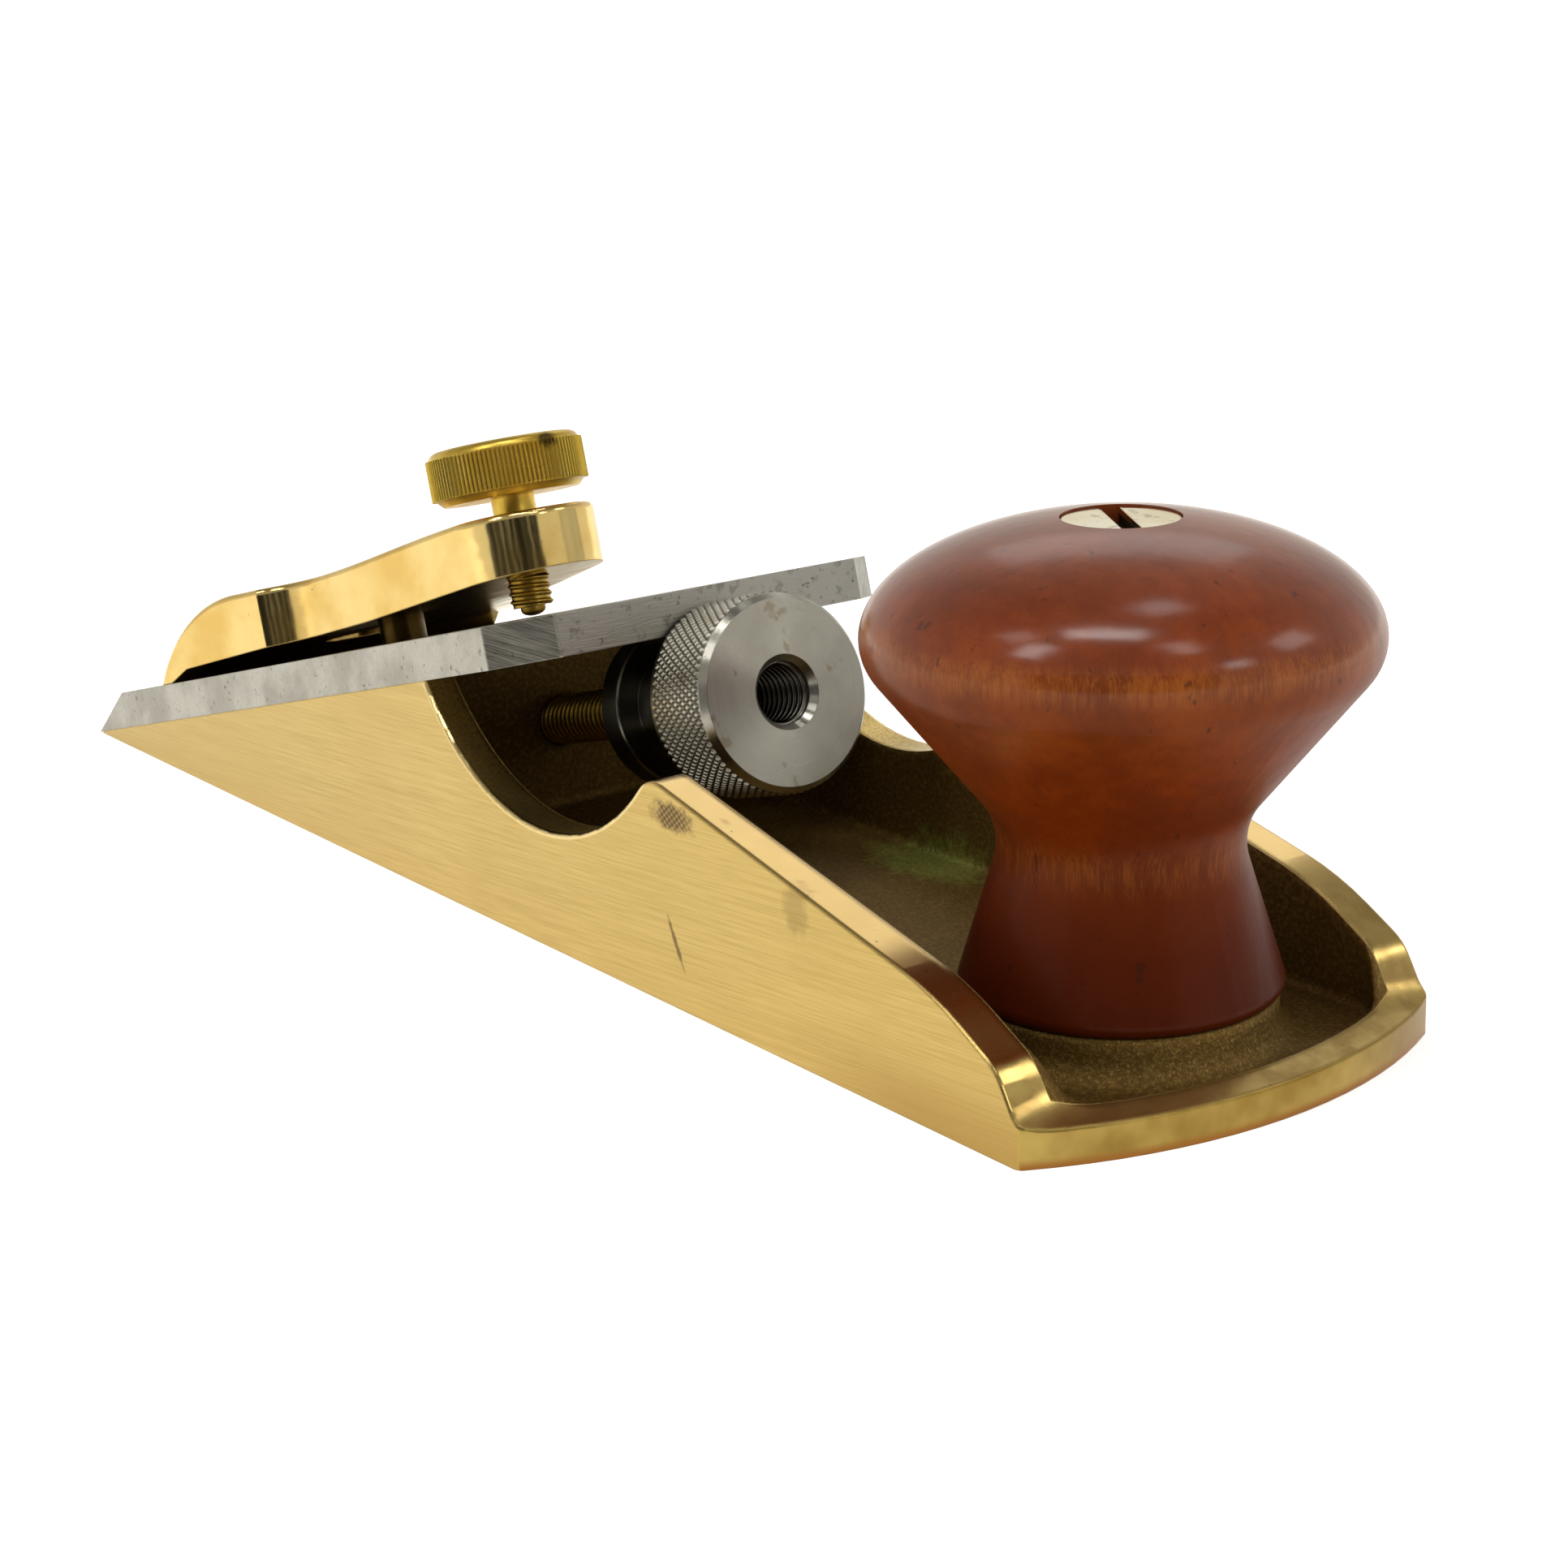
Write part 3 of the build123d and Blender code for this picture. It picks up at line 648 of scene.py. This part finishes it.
def bladeFinish():
    material, tree, shader, spot = startMaterial("toolSteel")
    axes = splitAxes(tree, spot)
    station = plus(tree, vectorMaths(tree, "DOT_PRODUCT", spot, steel["along"]), steel["alongStart"])
    tone = placeGroup(tree, handTone, Vector=spot, Scale=0.22)
    lines = placeGroup(tree, brushLines, Vector=spot, **steel["lines"])
    specks = placeGroup(tree, markSpecks, Vector=spot, **steel["specks"])
    base = mixColour(tree, tone, steel["flat"], steel["ground"])
    base = tint(tree, base, steel["dark"], remap(tree, lines, 0.42, 0.6), 0.3)
    # the clipped corners are ground aslant, the rear end is mottled
    cut = minus(tree, plus(tree, station, maths(tree, "ABSOLUTE", axes[1])), steel["clipLine"])
    clip = remap(tree, cut, *steel["onFace"])
    slanted = joinAxes(tree, plus(tree, axes[2], times(tree, station, steel["clipSlope"])), station)
    grind = placeGroup(tree, brushLines, Vector=slanted, **steel["clipLines"])
    ground = mixColour(tree, remap(tree, grind, 0.38, 0.60), steel["clipDark"], steel["clip"])
    base = mixColour(tree, clip, base, ground)
    end = remap(tree, minus(tree, station, steel["length"]), *steel["onFace"])
    mottle = placeGroup(tree, markSpecks, Vector=spot, **steel["mottle"])
    base = mixColour(tree, end, base, tint(tree, steel["end"], steel["clipDark"], mottle, 0.6))
    base = tint(tree, base, steel["spot"], specks, 0.6)
    height = mixValue(tree, clip, lines, grind)
    scored = bumpNormal(tree, height, *steel["bump"], easedEdges(tree, steel["ease"]))
    setMetal(tree, shader, base, mixValue(tree, tone, *steel["rough"]), scored)
    return material


turnedSteel = {
    "light": colour(0.60, 0.58, 0.505),
    "grey": colour(0.52, 0.495, 0.42),
    "ring": colour(0.30, 0.285, 0.24),
    "grimeAndShade": colour(0.035, 0.03, 0.022),
    "rust": colour(0.24, 0.16, 0.07),
    "rings": {"Across": (0.6, 9.0, 1.0), "Fineness": 1.6},
    "rustSpecks": {"Scale": 0.45, "Level": 0.62, "Softness": 0.08},
    "stretch": 0.85, "stretchTurn": 0.25,  # highlights drawn out by the turning marks
    "rough": (0.20, 0.30), "bump": (0.15, 0.00006), "ease": 0.0001,
}


def stainlessFinish():
    material, tree, shader, spot = startMaterial("stainless")
    tone = placeGroup(tree, handTone, Vector=spot, Scale=0.3)
    grimeAndShade = addNode(tree, "ShaderNodeAttribute", attribute_name="grimeAndShade").outputs["Fac"]
    chart = addNode(tree, "ShaderNodeUVMap", uv_map="turned").outputs[0]
    rings = placeGroup(tree, brushLines, Vector=chart, **turnedSteel["rings"])
    turned = remap(tree, splitAxes(tree, chart)[1], 0.0, 0.2)  # the core has a chart, the knurl has none
    base = mixColour(tree, tone, turnedSteel["light"], turnedSteel["grey"])
    base = tint(tree, base, turnedSteel["ring"], turned, 0.55)
    base = tint(tree, base, turnedSteel["ring"], remap(tree, rings, 0.4, 0.62), 0.22)
    rust = placeGroup(tree, markSpecks, Vector=spot, **turnedSteel["rustSpecks"])
    base = tint(tree, base, turnedSteel["rust"], rust, 0.45)
    base = tint(tree, base, turnedSteel["grimeAndShade"], grimeAndShade, 0.72)
    shader.inputs["Anisotropic"].default_value = turnedSteel["stretch"]
    shader.inputs["Anisotropic Rotation"].default_value = turnedSteel["stretchTurn"]
    tangent = addNode(tree, "ShaderNodeTangent", direction_type="UV_MAP", uv_map="turned")
    feed(tree, shader.inputs["Tangent"], tangent.outputs[0])
    ringed = bumpNormal(tree, rings, *turnedSteel["bump"], easedEdges(tree, turnedSteel["ease"]))
    setMetal(tree, shader, base, mixValue(tree, rings, *turnedSteel["rough"]), ringed)
    return material


cherry = {
    # height of each tone along the knob: wood colour with painted shade, darkest at the foot, and painted
    # bounce light, lightest just below the brim
    "tonesWithPaintedLight": [
        (6.0, colour(0.064, 0.008, 0.001)), (11.0, colour(0.095, 0.011, 0.001)),
        (15.0, colour(0.16, 0.024, 0.003)), (17.3, colour(0.21, 0.042, 0.006)),
        (20.0, colour(0.23, 0.034, 0.003)), (26.0, colour(0.27, 0.042, 0.003)),
        (31.8, colour(0.31, 0.062, 0.006)), (33.6, colour(0.36, 0.088, 0.011)),
        (35.2, colour(0.28, 0.050, 0.006)), (37.5, colour(0.25, 0.043, 0.006)),
        (41.0, colour(0.27, 0.055, 0.012)),
    ],
    "paintedFibreSheen": colour(0.46, 0.14, 0.018),
    "shade": colour(0.10, 0.014, 0.003),
    "fleck": colour(0.045, 0.010, 0.005),
    "low": 5.5, "high": 42.0,
    "brim": ((31.8, 33.2), (35.4, 34.0)), "waist": ((15.0, 17.2), (19.6, 17.6)),
    "fibre": {"Across": (1.0, 1.0, 0.10), "Fineness": 1.9},
    "flecks": {"Scale": 0.7, "Level": 0.66, "Softness": 0.06},
    "growth": (0.42, 0.27, 0.02),  # across the layers, radians to the millimetre
    "specularTint": colour(1.0, 0.62, 0.42),
    "coatUp": (30.0, 36.0), "coatLevels": (0.05, 0.70), "coatRough": 0.18,
    "rough": (0.36, 0.48), "specularLevel": 0.12, "bump": (0.4, 0.0002),
}


def cherryFinish():
    material, tree, shader, spot = startMaterial("cherry")
    z = splitAxes(tree, spot)[2]
    low = cherry["low"]
    reach = cherry["high"] - low
    wander = noise(tree, vectorMaths(tree, "MULTIPLY", spot, (0.25, 0.25, 0.05)), 1.0)
    place = plus(tree, z, times(tree, minus(tree, wander, 0.5), 1.6))
    ramp = addNode(tree, "ShaderNodeValToRGB")
    feed(tree, ramp.inputs[0], maths(tree, "DIVIDE", minus(tree, place, low), reach))
    stops = ramp.color_ramp.elements
    for index, (height, shade) in enumerate(cherry["tonesWithPaintedLight"]):
        stop = stops[index] if index < 2 else stops.new(1.0)
        stop.position = (height - low) / reach
        stop.color = shade
    base = ramp.outputs[0]
    # blotches and layers of growth
    base = tint(tree, base, cherry["shade"], placeGroup(tree, handTone, Vector=spot, Scale=0.16), 0.42)
    base = tint(tree, base, cherry["shade"], placeGroup(tree, handTone, Vector=spot, Scale=0.55), 0.22)
    across = vectorMaths(tree, "DOT_PRODUCT", spot, cherry["growth"])
    layers = maths(tree, "SINE", plus(tree, across, times(tree, wander, 9.0)))
    base = tint(tree, base, cherry["shade"], remap(tree, layers, -1.0, 1.0), 0.18)
    # painted sheen: short upright fibres under the brim and at the waist are lightened as if catching the
    # light
    fibre = placeGroup(tree, brushLines, Vector=spot, **cherry["fibre"])
    waist = times(tree, band(tree, place, *cherry["waist"]), 0.7)
    bright = larger(tree, band(tree, place, *cherry["brim"]), waist)
    base = tint(tree, base, cherry["paintedFibreSheen"], bright, remap(tree, fibre, 0.46, 0.60, 0.0, 0.32))
    base = tint(tree, base, cherry["shade"], remap(tree, fibre, 0.50, 0.36), 0.22)
    stretched = vectorMaths(tree, "MULTIPLY", spot, (1.0, 1.0, 0.5))
    flecks = placeGroup(tree, markSpecks, Vector=stretched, **cherry["flecks"])
    base = tint(tree, base, cherry["fleck"], flecks, 0.6)
    feed(tree, shader.inputs["Base Color"], base)
    feed(tree, shader.inputs["Roughness"], mixValue(tree, fibre, *cherry["rough"]))
    shader.inputs["Specular IOR Level"].default_value = cherry["specularLevel"]
    shader.inputs["Specular Tint"].default_value = cherry["specularTint"]
    feed(tree, shader.inputs["Coat Weight"], remap(tree, z, *cherry["coatUp"], *cherry["coatLevels"]))
    shader.inputs["Coat Roughness"].default_value = cherry["coatRough"]
    pores = plus(tree, times(tree, fibre, 0.25), times(tree, noise(tree, stretched, 0.30), 1.5))
    feed(tree, shader.inputs["Normal"], bumpNormal(tree, pores, *cherry["bump"]))
    return material


def dress(nodeName, material):
    for slot in nodes[nodeName].material_slots:
        slot.material = material


plainBrass = turnedBrassFinish("turnedBrass", brass["headStain"], brass["headStainShare"])
stainless = stainlessFinish()
dress("body", bronzeFinish())
dress("blade", bladeFinish())
dress("lever_cap", polishedBrassFinish("polishedBrass", brass["bright"], brass["deep"],
                                       brass["capSpecks"], brass["capDirtBelow"]))
dress("knob", cherryFinish())
dress("knob_nut", polishedBrassFinish("paleBrass", brass["pale"], brass["paleDeep"],
                                      brass["nutSpecks"], brass["nutDirtBelow"]))
# the hold-down screw is darkened all over as painted shade
dress("cap_screw", turnedBrassFinish("shadedScrewBrass", brass["screwShade"], brass["screwShadeShare"]))
dress("knob_stud", plainBrass)
print("finishes ready")


# Turned pieces

onAxis = 1e-7  # a smaller radius is a single point
creaseAngle = math.radians(30.0)
hair = 0.00002  # clears rounding at an edge


def axisPlace(jointName):
    # local Z runs along the joint's axis, local X points to the far side
    joint = joints[jointName]
    axis = Vector(joint["axis"])
    far = Vector((0.0, 1.0, 0.0))
    turned = Matrix((far, axis.cross(far), axis)).transposed().to_4x4()
    return Matrix.Translation(joint["pos_m"]) @ turned


def spanAlong(nodeName, place):
    back = place.inverted()
    heights = [(back @ vertex.co).z for vertex in nodes[nodeName].data.vertices]
    return min(heights), max(heights)


def turnedMesh(name, profile, steps, ring=False):
    # profile: (radius, height) pairs in order; a ring's last pair joins its first
    shape = bmesh.new()
    chart = shape.loops.layers.uv.new("turned")
    rows = []
    run = [0.0]
    for step, (radius, height) in enumerate(profile):
        if step:
            before = profile[step - 1]
            run.append(run[-1] + math.hypot(radius - before[0], height - before[1]))
        count = 1 if radius < onAxis else steps
        turns = [2.0 * math.pi * index / steps for index in range(count)]
        circle = [(radius * math.cos(turn), radius * math.sin(turn), height) for turn in turns]
        rows.append([shape.verts.new(corner) for corner in circle])
    links = [(index, index + 1) for index in range(len(rows) - 1)]
    if ring:
        links.append((len(rows) - 1, 0))
        run.append(run[-1] + math.hypot(profile[0][0] - profile[-1][0], profile[0][1] - profile[-1][1]))
    for low, high in links:
        for index in range(steps):
            after = index + 1
            corners = [(low, index), (low, after), (high, after), (high, index)]
            kept = []
            charted = []
            for row, turn in corners:
                vertex = rows[row][turn % len(rows[row])]
                if vertex in kept:
                    continue
                length = run[low + 1] if row == high else run[low]
                kept.append(vertex)
                charted.append((turn / steps, length * millimetres))
            if len(kept) > 2:
                face = shape.faces.new(kept)
                for loop, uv in zip(face.loops, charted):
                    loop[chart].uv = uv
    bmesh.ops.recalc_face_normals(shape, faces=shape.faces)
    for face in shape.faces:
        face.smooth = True
    for edge in shape.edges:
        edge.smooth = edge.calc_face_angle(0.0) < creaseAngle
    mesh = bpy.data.meshes.new(name)
    shape.to_mesh(mesh)
    shape.free()
    return mesh


def closeTree(tree, source, sink, shape):
    # the core and the new shape leave as one plain mesh with one finish
    joined = addNode(tree, "GeometryNodeJoinGeometry")
    tree.links.new(source["Geometry"], joined.inputs[0])
    tree.links.new(shape, joined.inputs[0])
    plain = addNode(tree, "GeometryNodeRealizeInstances")
    finish = addNode(tree, "GeometryNodeSetMaterial")
    feed(tree, plain.inputs[0], joined.outputs[0])
    feed(tree, finish.inputs["Geometry"], plain.outputs[0])
    feed(tree, finish.inputs["Material"], source["Material"])
    feed(tree, sink["Geometry"], finish.outputs[0])


def knurlTree(name, diamond):
    # points in staggered rows round local Z, each with one small raised shape
    tree, source, sink = startTree(name, "GeometryNodeTree", [
        ("Geometry", "Geometry"), ("Around", "Int"), ("Rows", "Int"), ("Radius", "Float"),
        ("Start", "Float"), ("Length", "Float"), ("Rise", "Float"), ("Width", "Float"),
        ("Reach", "Float"), ("Material", "Material"),
    ], ("Geometry", "Geometry"))
    index = addNode(tree, "GeometryNodeInputIndex").outputs[0]
    row = maths(tree, "FLOOR", maths(tree, "DIVIDE", index, source["Around"]))
    shift = times(tree, maths(tree, "MODULO", row, 2.0), 0.5)
    turn = maths(tree, "DIVIDE", plus(tree, index, shift), source["Around"])
    turn = times(tree, turn, 2.0 * math.pi)
    spacing = maths(tree, "DIVIDE", source["Length"], source["Rows"])
    height = times(tree, plus(tree, row, 0.5), spacing)
    height = plus(tree, height, source["Start"])
    across = maths(tree, "COSINE", turn)
    aside = maths(tree, "SINE", turn)
    outward = joinAxes(tree, across, aside)
    spot = joinAxes(tree, times(tree, across, source["Radius"]),
                    times(tree, aside, source["Radius"]), height)
    points = addNode(tree, "GeometryNodePoints")
    feed(tree, points.inputs["Count"], times(tree, source["Around"], source["Rows"]))
    feed(tree, points.inputs["Position"], spot)
    turnTo = addNode(tree, "FunctionNodeAxesToRotation")
    if diamond:
        tooth = addNode(tree, "GeometryNodeMeshCone")
        tooth.inputs["Vertices"].default_value = 4
        tooth.inputs["Radius Top"].default_value = 0.52  # blunt
        tooth.inputs["Radius Bottom"].default_value = 1.0
        tooth.inputs["Depth"].default_value = 1.0
        turnTo.primary_axis = "Z"
        turnTo.secondary_axis = "Y"
        sizes = (source["Width"], source["Reach"], source["Rise"])
    else:
        tooth = addNode(tree, "GeometryNodeMeshCylinder")
        tooth.inputs["Vertices"].default_value = 3
        tooth.inputs["Radius"].default_value = 1.0
        tooth.inputs["Depth"].default_value = 1.0
        turnTo.primary_axis = "X"
        turnTo.secondary_axis = "Z"
        sizes = (source["Rise"], source["Width"], source["Reach"])
    feed(tree, turnTo.inputs[0], outward)
    turnTo.inputs[1].default_value = (0.0, 0.0, 1.0)
    flat = addNode(tree, "GeometryNodeSetShadeSmooth")
    feed(tree, flat.inputs["Geometry"], tooth.outputs["Mesh"])
    flat.inputs["Shade Smooth"].default_value = False
    spread = addNode(tree, "GeometryNodeInstanceOnPoints")
    feed(tree, spread.inputs["Points"], points.outputs[0])
    feed(tree, spread.inputs["Instance"], flat.outputs[0])
    feed(tree, spread.inputs["Rotation"], turnTo.outputs[0])
    feed(tree, spread.inputs["Scale"], joinAxes(tree, *sizes))
    closeTree(tree, source, sink, spread.outputs[0])
    return tree


def threadTree(name):
    # a diamond section swept along a helix round local Z
    tree, source, sink = startTree(name, "GeometryNodeTree", [
        ("Geometry", "Geometry"), ("Radius", "Float"), ("Start", "Float"), ("Length", "Float"),
        ("Turns", "Float"), ("Depth", "Float"), ("Material", "Material"),
    ], ("Geometry", "Geometry"))
    helix = addNode(tree, "GeometryNodeCurveSpiral")
    helix.inputs["Resolution"].default_value = 40
    feed(tree, helix.inputs["Rotations"], source["Turns"])
    feed(tree, helix.inputs["Start Radius"], source["Radius"])
    feed(tree, helix.inputs["End Radius"], source["Radius"])
    feed(tree, helix.inputs["Height"], source["Length"])
    upright = addNode(tree, "GeometryNodeSetCurveNormal", mode="Z_UP")
    feed(tree, upright.inputs["Curve"], helix.outputs[0])
    section = addNode(tree, "GeometryNodeCurvePrimitiveCircle")
    section.inputs["Resolution"].default_value = 4
    feed(tree, section.inputs["Radius"], source["Depth"])
    sweep = addNode(tree, "GeometryNodeCurveToMesh")
    feed(tree, sweep.inputs["Curve"], upright.outputs[0])
    feed(tree, sweep.inputs["Profile Curve"], section.outputs[0])
    sweep.inputs["Fill Caps"].default_value = True
    moved = addNode(tree, "GeometryNodeTransform")
    feed(tree, moved.inputs["Geometry"], sweep.outputs[0])
    feed(tree, moved.inputs["Translation"], joinAxes(tree, 0.0, 0.0, source["Start"]))
    closeTree(tree, source, sink, moved.outputs[0])
    return tree


def growOn(mesh, tree, **values):
    # runs one tree on a core mesh and gives back a plain mesh
    holder = bpy.data.objects.new("core", mesh)
    scene.collection.objects.link(holder)
    modifier = holder.modifiers.new("grow", "NODES")
    modifier.node_group = tree
    for socket in tree.interface.items_tree:
        if socket.in_out == "INPUT" and socket.name in values:
            modifier[socket.identifier] = values[socket.name]
    holder.update_tag()
    bpy.context.view_layer.update()
    evaluated = holder.evaluated_get(bpy.context.evaluated_depsgraph_get())
    plain = bpy.data.meshes.new_from_object(evaluated)
    holder.modifiers.clear()
    bpy.data.objects.remove(holder)
    return plain


def markGrime(mesh, dirtAt, cleanAt, low, high):
    # dirt fades from one radius to the other, between two heights
    grimeAndShade = mesh.attributes.new("grimeAndShade", "FLOAT", "POINT")
    for vertex in mesh.vertices:
        radius = math.hypot(vertex.co.x, vertex.co.y)
        share = (cleanAt - radius) / (cleanAt - dirtAt)
        if not low <= vertex.co.z <= high:
            share = 0.0
        grimeAndShade.data[vertex.index].value = min(max(share, 0.0), 1.0)


def darkenBelow(mesh, height, share):
    # one share of darkening below a height: grime, and painted shade on the adjuster's flange and neck
    grimeAndShade = mesh.attributes["grimeAndShade"].data
    for vertex in mesh.vertices:
        if vertex.co.z < height:
            grimeAndShade[vertex.index].value = share


def setPiece(name, mesh, place, body, nodeName):
    mesh.transform(place)
    mesh.name = name
    piece = bpy.data.objects.new(name, mesh)
    scene.collection.objects.link(piece)
    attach(piece, body)
    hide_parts(nodeName)


diamondKnurl = knurlTree("diamondKnurl", True)
straightKnurl = knurlTree("straightKnurl", False)
screwThread = threadTree("screwThread")

adjuster = {
    "flangeRadius": 0.0074, "flangeLength": 0.0028, "flangeEase": 0.00015,
    "neckRadius": 0.0052, "wheelLength": 0.0085, "wheelRadius": 0.0088,
    "frontChamfer": 0.0002, "rearChamfer": 0.00065, "knurlDepth": 0.00026,
    "boreRadius": 0.00275, "threadInside": 0.00246, "mouthRadius": 0.0033, "mouthDepth": 0.0006,
    "threadPitch": 0.0008, "threadInset": 0.0003, "knurlAround": 76, "knurlRows": 12,
    "steps": 228, "flangeGrimeAndShade": 0.95, "grimeReach": 0.7,
}


def makeAdjuster():
    place = axisPlace("adjuster_turn")
    low, high = spanAlong("adjuster_wheel", place)
    core = adjuster["wheelRadius"] - adjuster["knurlDepth"]
    wheelStart = high - adjuster["wheelLength"]
    flangeEnd = low + adjuster["flangeLength"]
    ease = adjuster["flangeEase"]
    rear = adjuster["rearChamfer"]
    front = adjuster["frontChamfer"]
    profile = [
        (adjuster["boreRadius"], low),
        (adjuster["flangeRadius"] - ease, low),
        (adjuster["flangeRadius"], low + ease),
        (adjuster["flangeRadius"], flangeEnd - ease),
        (adjuster["flangeRadius"] - ease, flangeEnd),
        (adjuster["neckRadius"], flangeEnd),
        (adjuster["neckRadius"], wheelStart),
        (core, wheelStart),
        (core, high - rear),
        (adjuster["wheelRadius"] - adjuster["knurlDepth"] * 0.5, high - rear),
        (adjuster["wheelRadius"] - rear, high),
        (adjuster["mouthRadius"], high),
        (adjuster["boreRadius"], high - adjuster["mouthDepth"]),
    ]
    mesh = turnedMesh("adjuster", profile, adjuster["steps"], ring=True)
    knurled = adjuster["wheelLength"] - front - rear
    spacing = knurled / (adjuster["knurlRows"] + 1)
    mesh = growOn(
        mesh, diamondKnurl, Around=adjuster["knurlAround"], Rows=adjuster["knurlRows"],
        Radius=core, Start=wheelStart + front + spacing * 0.5, Length=spacing * adjuster["knurlRows"],
        Rise=adjuster["knurlDepth"], Width=math.pi * adjuster["wheelRadius"] / adjuster["knurlAround"],
        Reach=spacing, Material=stainless,
    )
    threaded = high - adjuster["mouthDepth"] - low
    inset = adjuster["threadInset"]
    mesh = growOn(
        mesh, screwThread, Radius=adjuster["boreRadius"], Start=low + inset, Length=threaded - inset * 2.0,
        Turns=threaded / adjuster["threadPitch"], Material=stainless,
        Depth=adjuster["boreRadius"] - adjuster["threadInside"],
    )
    cleanAt = core + adjuster["knurlDepth"] * adjuster["grimeReach"]
    markGrime(mesh, core, cleanAt, wheelStart, high - rear - hair)
    # painted shade with some grime: the flange and neck under the blade are darkened
    darkenBelow(mesh, wheelStart - hair, adjuster["flangeGrimeAndShade"])
    setPiece("knurledAdjuster", mesh, place, "adjuster", "adjuster_wheel")


stud = {"radius": 0.0024, "threadDepth": 0.00028, "pitch": 0.0008, "tipChamfer": 0.0004, "steps": 64}


def makeStud():
    place = axisPlace("adjuster_turn")
    low, high = spanAlong("adjuster_stud", place)
    core = stud["radius"] - stud["threadDepth"]
    profile = [(0.0, low), (core, low), (core, high - stud["tipChamfer"]),
               (core - stud["tipChamfer"], high), (0.0, high)]
    mesh = turnedMesh("stud", profile, stud["steps"])
    length = high - low - stud["tipChamfer"] * 2.0
    mesh = growOn(mesh, screwThread, Radius=core, Start=low + stud["tipChamfer"], Length=length,
                  Turns=length / stud["pitch"], Depth=stud["threadDepth"], Material=plainBrass)
    markGrime(mesh, core, stud["radius"], low, high)
    setPiece("threadedStud", mesh, place, "body", "adjuster_stud")


thumb = {
    "headRadius": 0.0076, "headHeight": 0.0053, "topEase": 0.0010, "lowEase": 0.0008,
    "shankRadius": 0.0021, "threadDepth": 0.00024, "pitch": 0.0008, "threadLength": 0.0046,
    "threadInset": 0.0002, "tipRadius": 0.0012, "tipLength": 0.0009, "tipRound": 0.0006,
    "knurlDepth": 0.00022, "knurlAround": 104, "steps": 104, "shankGrime": 0.62,
    "ribShape": 0.866,  # half the base of a three-sided rib, as a share of its radius
    "ribOverlap": 1.05,
    "lowGap": 0.8, "topGap": 0.75,  # shares of the two eased edges that the ribs leave bare
    "tipSteps": 4, "topSteps": 6,
}


def makeThumbScrew():
    place = axisPlace("thumb_turn")
    low, high = spanAlong("thumb_screw", place)
    headBase = high - thumb["headHeight"]
    core = thumb["headRadius"] - thumb["knurlDepth"]
    shank = thumb["shankRadius"]
    threadCore = shank - thumb["threadDepth"]
    tipTop = low + thumb["tipLength"]
    threadTop = tipTop + thumb["threadLength"]
    profile = [(0.0, low)]
    for step in range(1, thumb["tipSteps"] + 1):  # rounded tip
        turn = math.radians(90.0 * step / thumb["tipSteps"])
        rise = thumb["tipRound"] * (1.0 - math.cos(turn))
        profile.append((thumb["tipRadius"] * math.sin(turn), low + rise))
    profile += [(thumb["tipRadius"], tipTop), (threadCore, tipTop), (threadCore, threadTop),
                (shank, threadTop + thumb["threadDepth"]), (shank, headBase)]
    profile += [(core - thumb["lowEase"], headBase), (core, headBase + thumb["lowEase"])]
    for step in range(thumb["topSteps"] + 1):  # rounded top edge
        turn = math.radians(90.0 * step / thumb["topSteps"])
        profile.append((core - thumb["topEase"] * (1.0 - math.cos(turn)),
                        high - thumb["topEase"] * (1.0 - math.sin(turn))))
    profile.append((0.0, high))
    mesh = turnedMesh("thumb", profile, thumb["steps"])
    lowGap = thumb["lowEase"] * thumb["lowGap"]
    knurlStart = headBase + lowGap
    knurlLength = thumb["headHeight"] - lowGap - thumb["topEase"] * thumb["topGap"]
    ribWidth = math.pi * core / thumb["knurlAround"] / thumb["ribShape"] * thumb["ribOverlap"]
    mesh = growOn(
        mesh, straightKnurl, Around=thumb["knurlAround"], Rows=1, Radius=core,
        Start=knurlStart, Length=knurlLength, Rise=thumb["knurlDepth"],
        Width=ribWidth, Reach=knurlLength, Material=plainBrass,
    )
    inset = thumb["threadInset"]
    mesh = growOn(
        mesh, screwThread, Radius=threadCore, Start=tipTop + inset, Length=thumb["threadLength"] - inset,
        Turns=thumb["threadLength"] / thumb["pitch"], Depth=thumb["threadDepth"], Material=plainBrass,
    )
    markGrime(mesh, core, core + thumb["knurlDepth"], knurlStart, high - thumb["topEase"])
    darkenBelow(mesh, headBase - hair, thumb["shankGrime"])
    setPiece("knurledThumbScrew", mesh, place, "thumb_screw", "thumb_screw")


makeAdjuster()
makeStud()
makeThumbScrew()
print("turned pieces ready")
